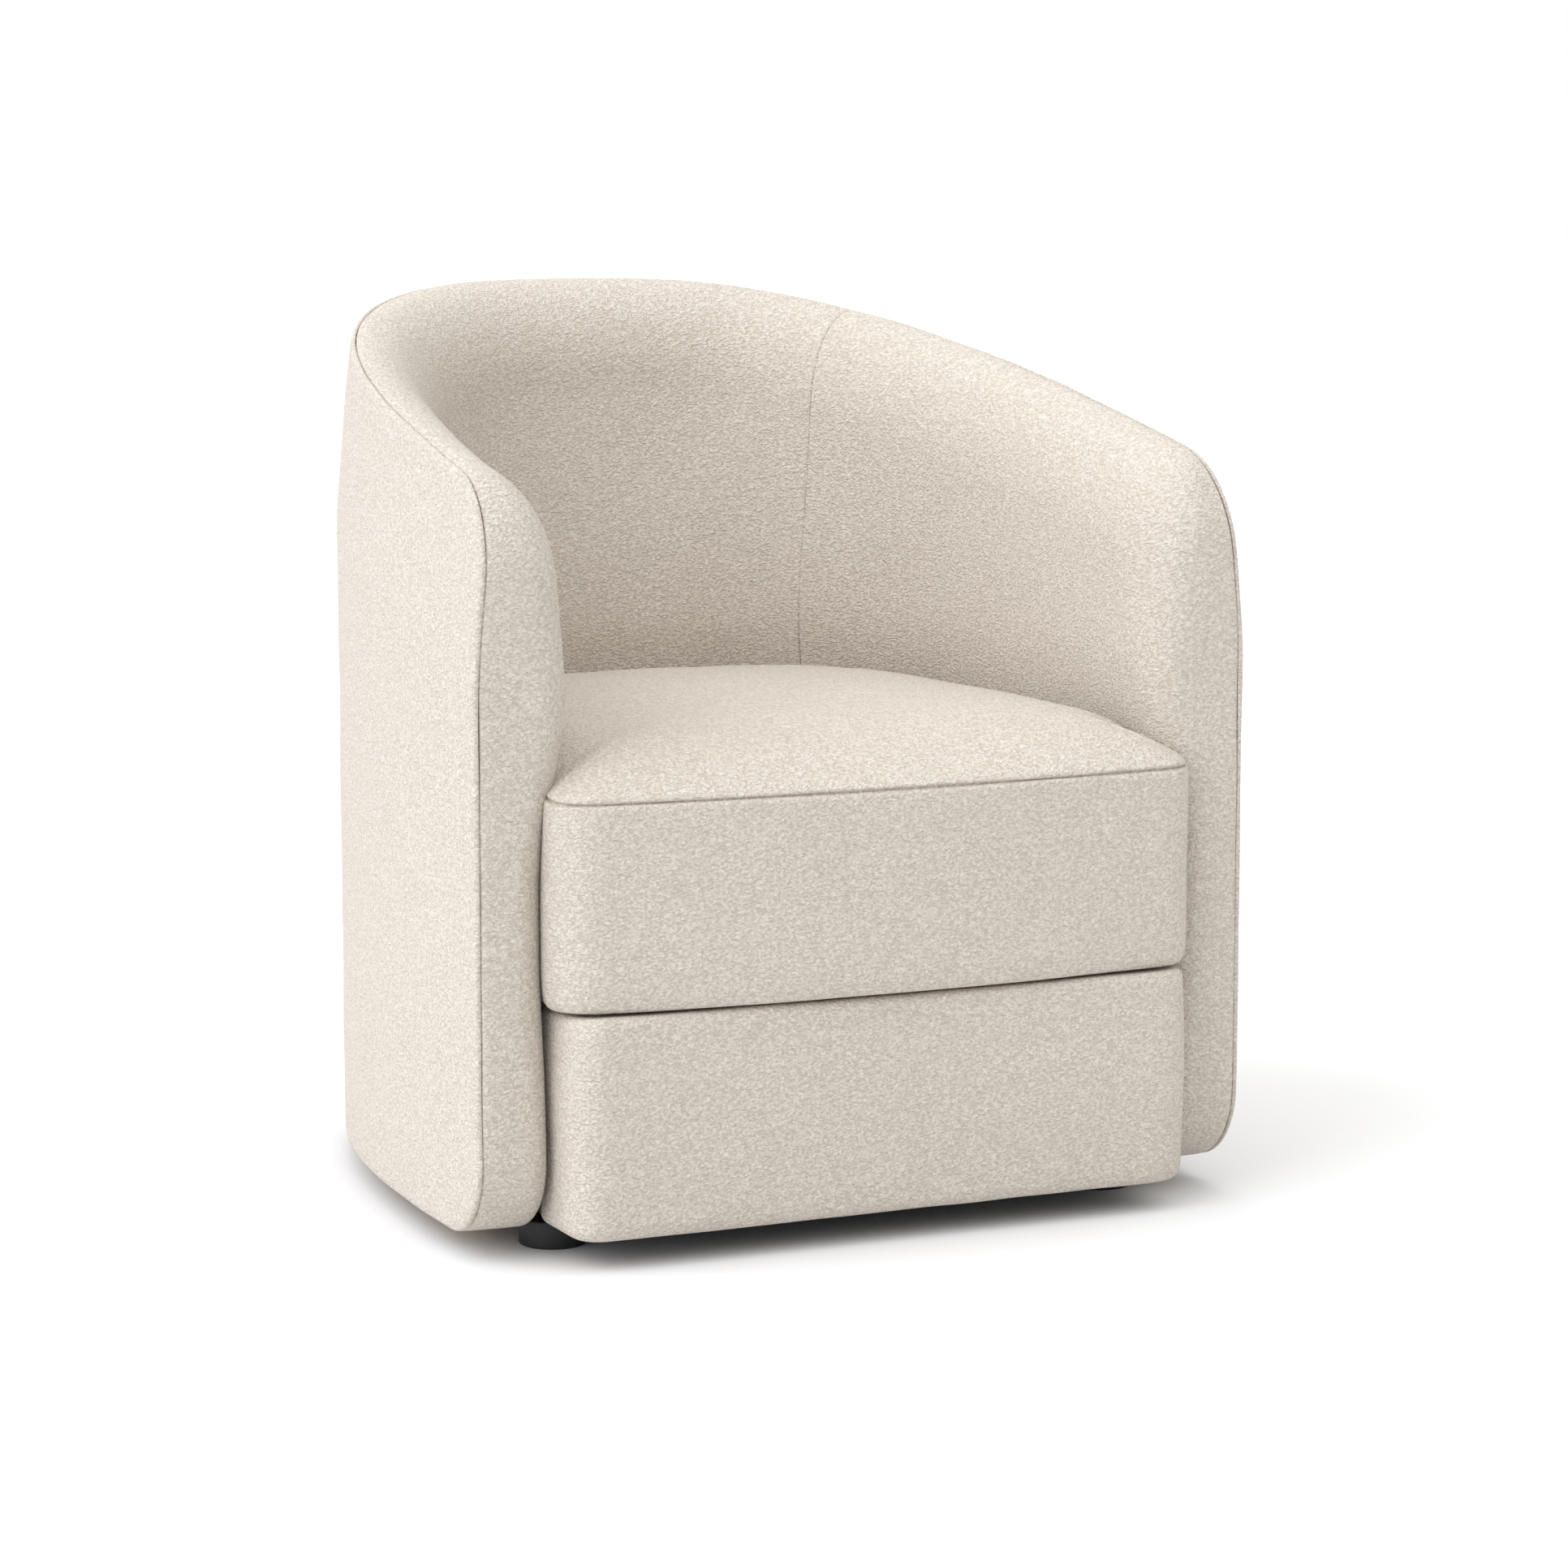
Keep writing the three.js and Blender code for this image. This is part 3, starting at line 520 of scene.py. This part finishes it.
def outerCross(k, reach, edgeWeight, s0, z0):
    drop = wall["seamDrop"]
    edge = [(drop + .0040, .0051), (drop + .0012, .0050), (drop, .0042), (drop + .0004, .0020), (drop + .0020, .0005),
            (drop + .0055, 0), (drop + .0100, 0)]
    if k < len(edge):
        return edge[k]
    t = (k - len(edge) + 1) / (acrossCount - len(edge) + 1)
    return mix(edge[-1][0], reach, t), 0


def edgeWeightAt(along):
    # 0 on the arm front and 1 on the rim; along is the distance past the start of the top corner
    return smoothStep(-.16, wall["armTopRadius"] * cornerTurn + .04, along)


def lowWeight(z):
    # the padding's inner edge is sharper low down, where it stands against the base
    return -.6 * smoothStep(.26, .08, z)


def sidePoint(s, z, across):
    # puts a cross point in space; its depth is a number, or the crest and the share of the roll
    a, depth = across
    if isinstance(depth, tuple):
        crest, share = depth
        return wallPoint(s, mix(crest, insideDepth(s, z), share), z)
    fade = max(1 - depth / inside["rimCrest"], 0)
    return wallPoint(s, depth + leanAt(s, z) * min(fade * 1.6, 1), z)


def wallSheet(cross, skirtColumns, lowest):
    # patches that share their edges: arm front, top corner, rim, bottom corner and underside
    zTop, zBottom = topCentre[1], bottomCentre[1]
    columns = acrossCount + aroundCount

    def frontPlace(z, k):
        reach = mix(bottomCentre[0], topCentre[0], (z - zBottom) / (zTop - zBottom))
        weight = edgeWeightAt(z - zTop) + lowWeight(z)
        if k <= acrossCount:
            a, depth = cross(k, reach, weight, 0, z)
            return sidePoint(a, z, (a, depth))
        share = (k - acrossCount) / aroundCount
        s = mix(reach, halfLength, share)
        return sidePoint(s, z, (s, (0, 1)) if cross is innerCross else (s, 0))

    upperRows = round((zTop - lowest) / wall["spacing"])
    lowerRows = round((lowest - zBottom) / wall["spacing"])
    patches = [bendGrid(columns, upperRows, lambda k, j: frontPlace(mix(lowest, zTop, j / upperRows), k))]
    lowerColumns = acrossCount + skirtColumns
    patches.append(bendGrid(lowerColumns, lowerRows, lambda k, j: frontPlace(mix(zBottom, lowest, j / lowerRows), k)))

    def cornerPlace(centre, radius, turn, weight, k, rise):
        a, depth = cross(k, radius, weight, 0, centre[1])
        s = centre[0] - (radius - a) * math.cos(turn)
        z = centre[1] + rise * (radius - a) * math.sin(turn)
        return sidePoint(s, z, (a, depth))

    def topCorner(k, j):
        turn = cornerTurn * j / cornerCount
        weight = edgeWeightAt(wall["armTopRadius"] * turn)
        return cornerPlace(topCentre, wall["armTopRadius"], turn, weight, k, 1)

    def bottomCorner(k, j):
        turn = math.pi / 2 * j / bottomCornerCount
        weight = mix(lowWeight(zBottom), -1, j / bottomCornerCount)
        return cornerPlace(bottomCentre, wall["armBottomRadius"], turn, weight, k, -1)

    def rimPlace(k, i):
        share = i / aroundCount
        firstS = topCentre[0] - wall["armTopRadius"] * math.sin(rimAngle)
        seamS = mix(firstS, halfLength, share)
        footS = mix(topCentre[0], halfLength, share)
        reach = math.hypot(footS - seamS, rimHeight(seamS) - zTop)
        weight = edgeWeightAt(wall["armTopRadius"] * cornerTurn + seamS - firstS)
        a, depth = cross(k, reach, weight, seamS, zTop)
        down = a / reach
        return sidePoint(mix(seamS, footS, down), mix(rimHeight(seamS), zTop, down), (a, depth))

    def underPlace(k, i):
        s = mix(bottomCentre[0], halfLength, i / aroundCount)
        a, depth = cross(k, bottomCentre[1] - wall["bottom"], -1, s, zBottom)
        return sidePoint(s, wall["bottom"] + a, (a, depth))

    patches.append(bendGrid(acrossCount, cornerCount, topCorner))
    patches.append(bendGrid(acrossCount, aroundCount, rimPlace))
    patches.append(bendGrid(acrossCount, bottomCornerCount, bottomCorner))
    patches.append(bendGrid(acrossCount, skirtColumns, underPlace))
    return joinAll(patches, 5e-5)


def seamPlane():
    # a point of the left seam and the level direction along the wall there
    x, y, nx, ny = wallRow(inside["seamShare"] * halfLength * 2)
    return Vector((x, y, 0)), Vector((-ny, nx, 0))


def splitAtSeam(piece):
    # cuts off and returns the part of the piece in front of the left seam
    point, along = seamPlane()
    pick(piece)
    bpy.ops.object.duplicate()
    sidePart = bpy.context.object
    for part, isSide in ((piece, False), (sidePart, True)):
        pick(part)
        bpy.ops.object.mode_set(mode='EDIT')
        bpy.ops.mesh.select_all(action='SELECT')
        bpy.ops.mesh.bisect(plane_co=point, plane_no=along, clear_inner=not isSide, clear_outer=isSide)
        bpy.ops.object.mode_set(mode='OBJECT')
    return sidePart


def tuckSeam(piece, reach, depth):
    # pulls the cloth in a little along the left seam
    point, along = seamPlane()
    pick(piece)
    bpy.ops.object.mode_set(mode='EDIT')
    for offset in (-reach, -reach / 2, reach / 2, reach):
        bpy.ops.mesh.select_all(action='SELECT')
        bpy.ops.mesh.bisect(plane_co=point + along * offset, plane_no=along)
    bpy.ops.object.mode_set(mode='OBJECT')
    normals = [vertex.normal.copy() for vertex in piece.data.vertices]
    for vertex, normal in zip(piece.data.vertices, normals):
        away = abs((vertex.co - point).dot(along))
        if away < reach and vertex.co.y > 0:
            vertex.co -= normal * depth * (1 - away / reach) ** 2


def makeWall():
    outer = wallSheet(outerCross, aroundCount, skirtBottom)
    faceOutwards(outer, Vector((-1, 0, .3)))
    applyModifier(outer, 'MIRROR', use_axis=(True, False, False), merge_threshold=1e-4)
    unevenSurface(outer, fabric["uneven"], fabric["unevenSize"], 3)
    finishFabric(outer, "outer_panel", boucle, fabric["thickness"])

    back = wallSheet(innerCross, inside["skirtColumns"], skirtBottom)
    faceOutwards(back, Vector((0, 0, .5)))
    side = splitAtSeam(back)
    tuckSeam(side, fabric["seamReach"], fabric["seamTuck"])
    tuckSeam(back, fabric["seamReach"], fabric["seamTuck"])
    applyModifier(back, 'MIRROR', use_axis=(True, False, False), merge_threshold=1e-4)
    for panel, name in ((side, "inner_panel_left"), (back, "inner_panel_back")):
        subdivide(panel)
        unevenSurface(panel, fabric["uneven"], fabric["unevenSize"], 8)
        finishFabric(panel, name, boucle, fabric["thickness"])
    return outer, side, back


outerPanel, leftPanel, backPanel = makeWall()
rightPanel = copyMirrored(leftPanel, "inner_panel_right")
print("wall covered", len(outerPanel.data.polygons), len(leftPanel.data.polygons), len(backPanel.data.polygons))


# seat cushion

cushionLow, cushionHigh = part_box("cushion_cover")
cushion = {
    "bottom": cushionLow.z,
    "crown": .4205,
    "frontSeam": .378, "sideSeam": .396, "backSeam": .403,     # heights of the top seam
    "frontY": cushionLow.y,
    "bow": .015,
    "frontHalfWidth": .2925,
    "cornerRadius": .040,
    "gap": .0008,
    "columns": 224, "sideRows": 13,
    "middleY": -.05,            # the rings shrink towards this line
    "frontReach": .150, "sideReach": .060,      # how far in from the seam the top levels out
    "pressure": 3,
    "frames": 14,
    "puff": .0045,
    "uneven": .0011, "unevenSize": .090,
    "fitY": -.06,
    "zip": (.172, .284, .296),  # half its length, and its lowest and highest line
    "zipDepth": .0009,
}

# how far the sides stand in from the widest line at each height
sideProfile = [(0, .0085), (.0025, .0048), (.0065, .0020), (.014, .0006), (.030, 0)]
# the top seam, as (height from the seam, distance in from the widest line)
seamProfile = [
    (-.012, 0), (-.0060, .0002), (-.0032, .0007), (-.0014, .0020), (-.0004, .0062), (.0004, .0063), (.0012, .0026),
    (.0034, .0030),
]
seamRow = 4
topSteps = (.008, .014, .022, .032, .045)
topScales = (.90, .78, .64, .48, .30, .12, 0)


def cushionOutline(inset, z):
    # one level outline, from the middle of the front round the left side to the middle of the back
    c = cushion
    radius = max(c["cornerRadius"] - inset, .005)
    half = c["frontHalfWidth"] - inset
    cornerFront = c["frontY"] + c["bow"] + inset
    points = []
    for step in range(8):
        across = step / 8
        points.append((-(half - radius) * across, cornerFront - c["bow"] * (1 - across ** 2)))
    for step in range(9):
        turn = math.pi / 2 * step / 8
        points.append((-half + radius - radius * math.sin(turn), cornerFront + radius - radius * math.cos(turn)))
    sideStart = max(cornerFront + radius - armFrontY, 0) + .030
    for step in range(61):
        s = mix(sideStart, halfLength, step / 60)
        place = wallPoint(s, insideDepth(s, z) + c["gap"] + inset, z)
        points.append((min(place.x, 0), place.y))
    return points


def closedOutline(inset, z, count):
    # evenly spaced points round the whole outline
    half = cushionOutline(inset, z)
    ring = half + [(-x, y) for x, y in reversed(half[1:-1])]
    ring.append(ring[0])
    lengths = [0]
    for (x0, y0), (x1, y1) in zip(ring, ring[1:]):
        lengths.append(lengths[-1] + math.hypot(x1 - x0, y1 - y0))
    stops = np.linspace(0, lengths[-1], count, endpoint=False)
    return np.interp(stops, lengths, [p[0] for p in ring]), np.interp(stops, lengths, [p[1] for p in ring])


def makeCushionBlank():
    # rings from the middle of the underside, up the sides, over the seam and in to the crown
    c = cushion
    count = c["columns"]
    middleY = c["middleY"]
    edgeY = closedOutline(0, c["frontSeam"], count)[1]
    seamZ = []
    for y in edgeY:
        side = mix(c["frontSeam"], c["sideSeam"], smoothStep(c["frontY"] + .030, c["frontY"] + .120, y))
        seamZ.append(mix(side, c["backSeam"], smoothStep(0, .200, y)))
    rings = []

    def addRing(inset, level, heights, scale=1):
        xs, ys = closedOutline(inset, level, count)
        rings.append([Vector((x * scale, middleY + (y - middleY) * scale, z)) for x, y, z in zip(xs, ys, heights)])

    for scale in reversed(topScales):
        addRing(sideProfile[0][1] + .006, c["bottom"], [c["bottom"]] * count, scale)
    firstFixed = len(rings)
    for height, inset in sideProfile:
        addRing(inset, c["bottom"] + height, [c["bottom"] + height] * count)
    start = c["bottom"] + sideProfile[-1][0]
    rows = c["sideRows"]
    for row in range(1, rows + 1):
        level = mix(start, c["frontSeam"] + seamProfile[0][0], row / (rows + 1))
        addRing(0, level, [mix(start, z + seamProfile[0][0], row / (rows + 1)) for z in seamZ])
    seamStart = len(rings)
    for rise, inset in seamProfile:
        addRing(inset, c["frontSeam"] + rise, [z + rise for z in seamZ])

    def topHeight(k, place):
        away = math.hypot(place.x - outer[k].x, place.y - outer[k].y)
        frontness = 1 - smoothStep(c["frontY"] + .020, c["frontY"] + .130, outer[k].y)
        reach = mix(c["sideReach"], c["frontReach"], frontness)
        fall = (1 - min(away / reach, 1)) ** 2.2
        top = seamZ[k] + seamProfile[-1][0]
        return mix(c["crown"], top, fall)

    outer = rings[-1]
    lastInset = seamProfile[-1][1]
    for inset, scale in [(step, 1) for step in topSteps] + [(topSteps[-1], scale) for scale in topScales]:
        addRing(lastInset + inset, c["sideSeam"], [0] * count, scale)
        for k, place in enumerate(rings[-1]):
            place.z = topHeight(k, place)
    blank = joinAll([bendGrid(count, len(rings) - 1, lambda i, j: rings[j][i % count])])
    fixed = {tuple(round(v, 4) for v in place) for place in rings[firstFixed] + rings[seamStart + seamRow]}
    sewn = blank.vertex_groups.new(name="sewn")
    sewn.add([v.index for v in blank.data.vertices if tuple(round(c, 4) for c in v.co) in fixed], 1, 'ADD')
    return blank


def puff(piece, settings):
    # fills the cover by cloth pressure, held at its seams, and keeps a share of the movement
    scene = bpy.context.scene
    before = np.zeros(len(piece.data.vertices) * 3)
    piece.data.vertices.foreach_get("co", before)
    pick(piece)
    bpy.ops.object.modifier_add(type='CLOTH')
    cloth = piece.modifiers[-1]
    cloth.settings.use_pressure = True
    cloth.settings.uniform_pressure_force = settings["pressure"]
    cloth.settings.tension_stiffness = cloth.settings.compression_stiffness = 40
    cloth.settings.bending_stiffness = 4
    cloth.settings.vertex_group_mass = "sewn"
    cloth.settings.effector_weights.gravity = 0
    cloth.collision_settings.use_collision = False
    cloth.point_cache.frame_start = 1
    cloth.point_cache.frame_end = settings["frames"]
    for number in range(1, settings["frames"] + 1):
        scene.frame_set(number)
    bpy.ops.object.modifier_apply(modifier=cloth.name)
    scene.frame_set(1)
    after = np.zeros(len(piece.data.vertices) * 3)
    piece.data.vertices.foreach_get("co", after)
    moved = (after - before).reshape(-1, 3)
    furthest = float(np.linalg.norm(moved, axis=1).max())
    moved *= min(1, settings["puff"] / furthest)
    piece.data.vertices.foreach_set("co", before + moved.ravel())
    piece.data.update()
    print("puffed", piece.name, "by up to", round(furthest, 4))


def outlineLimits(levels, centreY):
    # how far out the cushion may reach at each height, as distances by angle
    angles = np.linspace(-math.pi, math.pi, 721)
    table = []
    for z in levels:
        xs, ys = closedOutline(0, z, 600)
        turn = np.arctan2(ys - centreY, xs)
        order = np.argsort(turn)
        reach = np.hypot(xs, ys - centreY)
        table.append(np.interp(angles, turn[order], reach[order], period=2 * math.pi))
    return angles, np.array(table)


def fitCushion(piece):
    # keeps the cushion flat where it rests on the deck and against the arms and back
    c = cushion
    levels = np.linspace(c["bottom"], .44, 24)
    centreY = c["fitY"]
    angles, table = outlineLimits(levels, centreY)
    coords = np.zeros(len(piece.data.vertices) * 3)
    piece.data.vertices.foreach_get("co", coords)
    coords = coords.reshape(-1, 3)
    coords[:, 2] = np.maximum(coords[:, 2], c["bottom"])
    turn = np.arctan2(coords[:, 1] - centreY, coords[:, 0])
    reach = np.hypot(coords[:, 0], coords[:, 1] - centreY)
    row = np.clip((coords[:, 2] - levels[0]) / (levels[-1] - levels[0]) * (len(levels) - 1), 0, len(levels) - 1.001)
    low = row.astype(int)
    column = (turn + math.pi) / (2 * math.pi) * 720
    left = np.clip(column.astype(int), 0, 719)
    share = column - left

    def limitAt(k):
        return table[k, left] * (1 - share) + table[k, left + 1] * share

    limit = limitAt(low) * (1 - (row - low)) + limitAt(low + 1) * (row - low)
    heights, insets = zip(*sideProfile)
    limit = limit - np.interp(coords[:, 2] - c["bottom"], heights, insets)
    shrink = np.minimum(1, limit / np.maximum(reach, 1e-9))
    coords[:, 0] *= shrink
    coords[:, 1] = centreY + (coords[:, 1] - centreY) * shrink
    piece.data.vertices.foreach_set("co", coords.ravel())
    piece.data.update()


def sinkForZip(piece):
    halfLengthX, low, high = cushion["zip"]
    for vertex in piece.data.vertices:
        x, y, z = vertex.co
        if abs(x) < halfLengthX and y > 0 and low < z < high:
            vertex.co.y -= cushion["zipDepth"]


def makeCushion():
    c = cushion
    piece = makeCushionBlank()
    piece.name = "seat_cushion_cover"
    puff(piece, c)
    unevenSurface(piece, c["uneven"], c["unevenSize"], 21)
    fitCushion(piece)
    subdivide(piece)
    sinkForZip(piece)
    piece.vertex_groups.clear()
    finishFabric(piece, "seat_cushion_cover", boucle, 0)
    return piece


seatCushion = makeCushion()
print("cushion made", len(seatCushion.data.polygons))


# padded base

baseLow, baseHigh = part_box("base_cover")
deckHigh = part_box("deck_cloth")[1]
padLow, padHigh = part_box("deck_pad")
base = {
    "cornerRadius": .028,
    "bottomRoll": .013,
    "topRoll": .007,
    "below": .0013,            # from the top of the deck down to the top of the base's edge
    "puff": .0016,
    "spacing": .008,
}


def basePath(inset):
    # the base seen from above, from the end of its left side round the front, with outward normals
    half = baseHigh.x - inset
    front = baseLow.y + inset
    radius = max(base["cornerRadius"] - inset, .002)
    points = []
    sideCount, arcCount = 5, 9
    for step in range(sideCount):
        y = mix(baseHigh.y, front + radius, step / sideCount)
        points.append((-half, y))
    for step in range(arcCount):
        turn = math.pi / 2 * step / arcCount
        points.append((-half + radius - radius * math.cos(turn), front + radius - radius * math.sin(turn)))
    frontCount = round(2 * half / base["spacing"] / 2) * 2
    for step in range(frontCount // 2 + 1):
        points.append((mix(-half + radius, 0, step / (frontCount // 2)), front))
    mirrored = [(-x, y) for x, y in reversed(points[:-1])]
    return points + mirrored


def makeBase():
    low, high = baseLow.z, deckHigh.z - base["below"]
    roll, top = base["bottomRoll"], base["topRoll"]
    profile = [(.030, low + .0003), (roll + .004, low), (roll, low)]
    for step in range(1, 6):
        turn = math.pi / 2 * step / 6
        profile.append((roll - roll * math.sin(turn), low + roll - roll * math.cos(turn)))
    rows = round((high - low - roll - top) / base["spacing"])
    for step in range(rows + 1):
        t = step / rows
        profile.append((-base["puff"] * math.sin(math.pi * t), mix(low + roll, high - top, t)))
    for step in range(1, 5):
        turn = math.pi / 2 * step / 4
        profile.append((top - top * math.cos(turn), high - top + top * math.sin(turn)))
    profile.extend([(top + .004, high), (.020, high - .0004), (.036, high - .0016)])
    paths = [basePath(inset) for inset, z in profile]
    count = min(len(path) for path in paths)
    fixed = []
    for path in paths:
        lengths = [0]
        for (x0, y0), (x1, y1) in zip(path, path[1:]):
            lengths.append(lengths[-1] + math.hypot(x1 - x0, y1 - y0))
        stops = np.linspace(0, lengths[-1], count)
        fixed.append(list(zip(np.interp(stops, lengths, [p[0] for p in path]),
                              np.interp(stops, lengths, [p[1] for p in path]))))
    panel = joinAll([bendGrid(count - 1, len(profile) - 1, lambda i, j: (*fixed[j][i], profile[j][1]))])
    faceOutwards(panel, Vector((0, -1, .1)))
    subdivide(panel)
    unevenSurface(panel, .0008, .060, 40)
    return finishFabric(panel, "base_panel", boucle, fabric["thickness"])


basePanel = makeBase()
print("base covered", len(basePanel.data.polygons))


# deck under the cushion

deck = {"sag": .004, "rows": 56, "columns": 56, "frontInset": .028}


def levelSheet(frontY, sideDepth, halfWidth, narrowTo, z, sag):
    # a level sheet inside the wall, where sideDepth gives its edge for a place s; it is narrower in front
    curve = [wallPoint(s, sideDepth(s), z) for s in np.linspace(.02, halfLength, 90)]
    ys = [place.y for place in curve]
    xs = [abs(place.x) for place in curve]

    def place(i, j):
        across = 2 * i / deck["columns"] - 1
        t = j / deck["rows"]
        y = mix(frontY, ys[-1] - .0005, 1 - (1 - t) ** 1.6)
        width = min(float(np.interp(y, ys, xs)), halfWidth if y < armFrontY + narrowTo else 1)
        return Vector((width * across, y, z - sag * (1 - across ** 4) * math.sin(math.pi * t)))

    sheet = joinAll([bendGrid(deck["columns"], deck["rows"], place)])
    faceOutwards(sheet, Vector((0, 0, 1)))
    return sheet


def makeDeck():
    panel = levelSheet(
        baseLow.y + deck["frontInset"], lambda s: insideDepth(s, .21) + .0015, baseHigh.x - deck["frontInset"], .045,
        deckHigh.z - .0002, deck["sag"],
    )
    subdivide(panel)
    return finishFabric(panel, "deck_panel", boucle, padHigh.z - padLow.z)


dustLow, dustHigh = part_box("dust_cover")
dust = {"sideDepth": .052, "frontInset": .0155, "narrowTo": .104, "sag": -.0003, "thickness": .0006}


def makeDustPanel():
    # thin cloth stapled flat under the seat frame
    panel = levelSheet(
        dustLow.y + .001, lambda s: dust["sideDepth"], baseHigh.x - dust["frontInset"], dust["narrowTo"],
        dustHigh.z, dust["sag"],
    )
    return finishFabric(panel, "dust_panel", dustCloth, dust["thickness"])


deckPanel = makeDeck()
dustPanel = makeDustPanel()
print("deck and dust cover made")


# feet

foot = {"vertices": 72, "bevel": .0022, "socketRadius": .0070, "socketDepth": .009}


def makeFoot(nodeName, name):
    low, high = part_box(nodeName)
    centre = (low + high) / 2
    radius = (high.x - low.x) / 2
    deselectAll()
    bpy.ops.mesh.primitive_cylinder_add(
        vertices=foot["vertices"], radius=radius, depth=high.z - low.z, location=centre, end_fill_type='NGON',
    )
    piece = bpy.context.object
    bpy.ops.object.transform_apply(location=True)
    bpy.ops.object.mode_set(mode='EDIT')
    bpy.ops.mesh.select_all(action='DESELECT')
    shape = bmesh.from_edit_mesh(piece.data)
    bottom = min(shape.faces, key=lambda face: face.calc_center_median().z)
    bottom.select_set(True)
    bmesh.update_edit_mesh(piece.data)
    bpy.ops.mesh.inset(thickness=foot["bevel"] * 2)
    bpy.ops.mesh.inset(thickness=radius - foot["bevel"] * 2 - foot["socketRadius"])
    bpy.ops.mesh.extrude_region_move(TRANSFORM_OT_translate={"value": (0, 0, foot["socketDepth"])})
    bpy.ops.object.mode_set(mode='OBJECT')
    applyModifier(piece, 'BEVEL', width=foot["bevel"], segments=4, limit_method='ANGLE', angle_limit=.7)
    piece.name = piece.data.name = name
    pick(piece)
    bpy.ops.object.shade_smooth_by_angle(angle=.6)
    piece.data.materials.append(footPlastic)
    return piece


feet = []
for place in ("front_left", "front_right", "rear_left", "rear_right"):
    glide = makeFoot("foot_" + place, "glide_" + place)
    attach(glide, "chair")
    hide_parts("foot_" + place)
    feet.append(glide)
print("feet made")


# what each piece stands for

for piece, nodes, fill in (
    (outerPanel, ["outer_cover", "outer_wadding"], .9),
    (leftPanel, ["inner_cover_left", "inner_padding_left"], .8),
    (backPanel, ["inner_cover_back", "inner_padding_back"], .8),
    (rightPanel, ["inner_cover_right", "inner_padding_right"], .8),
    (basePanel, ["base_cover", "base_padding"], .85),
    (deckPanel, ["deck_cloth", "deck_pad"], .5),
):
    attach(piece, "chair")
    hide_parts(*nodes)

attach(dustPanel, "chair")
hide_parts("dust_cover")

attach(seatCushion, "seat_cushion")
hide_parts("cushion_cover", "cushion_core")


# floor, light and camera

studio = {
    "floorColour": (.84, .84, .84, 1),
    "horizon": .16, "zenith": 1.78,     # strength of the sky
    "skyShown": 1.0,
    "sunStrength": 2.0,
    "sunAngle": 70,
    "sunFrom": (-.87, -.07, .48),
    "lens": 101.94,
    "aim": (.0479, -.0407, .3376),
    "azimuth": -24.63,
    "elevation": 7.96,
    "distance": 3.9247,
}


def makeFloor():
    deselectAll()
    bpy.ops.mesh.primitive_plane_add(size=60, location=(0, 0, 0))
    floor = bpy.context.object
    floor.name = "studio_floor"
    shader = Shader("paleFloor")
    speck = shader.noise(shader.position(), 40, detail=3)
    pale = studio["floorColour"]
    shader.set(Base_Color=shader.blend(speck, pale, tuple(c * .985 for c in pale[:3]) + (1,)), Roughness=.9,
               Specular_IOR_Level=.1)
    floor.data.materials.append(shader.material)


def makeLights():
    world = bpy.data.worlds.new("studioSky")
    bpy.context.scene.world = world
    world.use_nodes = True
    nodes, links = world.node_tree.nodes, world.node_tree.links
    background = nodes["Background"]
    background.inputs["Color"].default_value = (1, 1, 1, 1)
    path = nodes.new('ShaderNodeLightPath')
    place = nodes.new('ShaderNodeTexCoord')
    parts = nodes.new('ShaderNodeSeparateXYZ')
    links.new(place.outputs["Generated"], parts.inputs[0])
    sky = nodes.new('ShaderNodeMapRange')
    sky.inputs["To Min"].default_value = studio["horizon"]
    sky.inputs["To Max"].default_value = studio["zenith"]
    links.new(parts.outputs["Z"], sky.inputs["Value"])
    strength = nodes.new('ShaderNodeMix')
    strength.inputs[3].default_value = studio["skyShown"]
    links.new(path.outputs["Is Camera Ray"], strength.inputs[0])
    links.new(sky.outputs["Result"], strength.inputs[2])
    links.new(strength.outputs[0], background.inputs["Strength"])
    deselectAll()
    bpy.ops.object.light_add(type='SUN', location=Vector(studio["sunFrom"]) * 4)
    sun = bpy.context.object
    sun.data.energy = studio["sunStrength"]
    sun.data.angle = math.radians(studio["sunAngle"])
    sun.data.color = (.97, 1, 1.07)
    sun.rotation_euler = Vector(studio["sunFrom"]).to_track_quat('Z', 'Y').to_euler()


def makeCamera():
    a, e = math.radians(studio["azimuth"]), math.radians(studio["elevation"])
    back = Vector((math.sin(a) * math.cos(e), -math.cos(a) * math.cos(e), math.sin(e)))
    bpy.ops.object.camera_add(location=Vector(studio["aim"]) + back * studio["distance"])
    camera = bpy.context.object
    camera.rotation_euler = back.to_track_quat('Z', 'Y').to_euler()
    camera.data.lens = studio["lens"]
    camera.data.sensor_width = 36
    bpy.context.scene.camera = camera


makeFloor()
makeLights()
makeCamera()
bpy.context.scene.view_settings.view_transform = 'Standard'
print("studio ready")
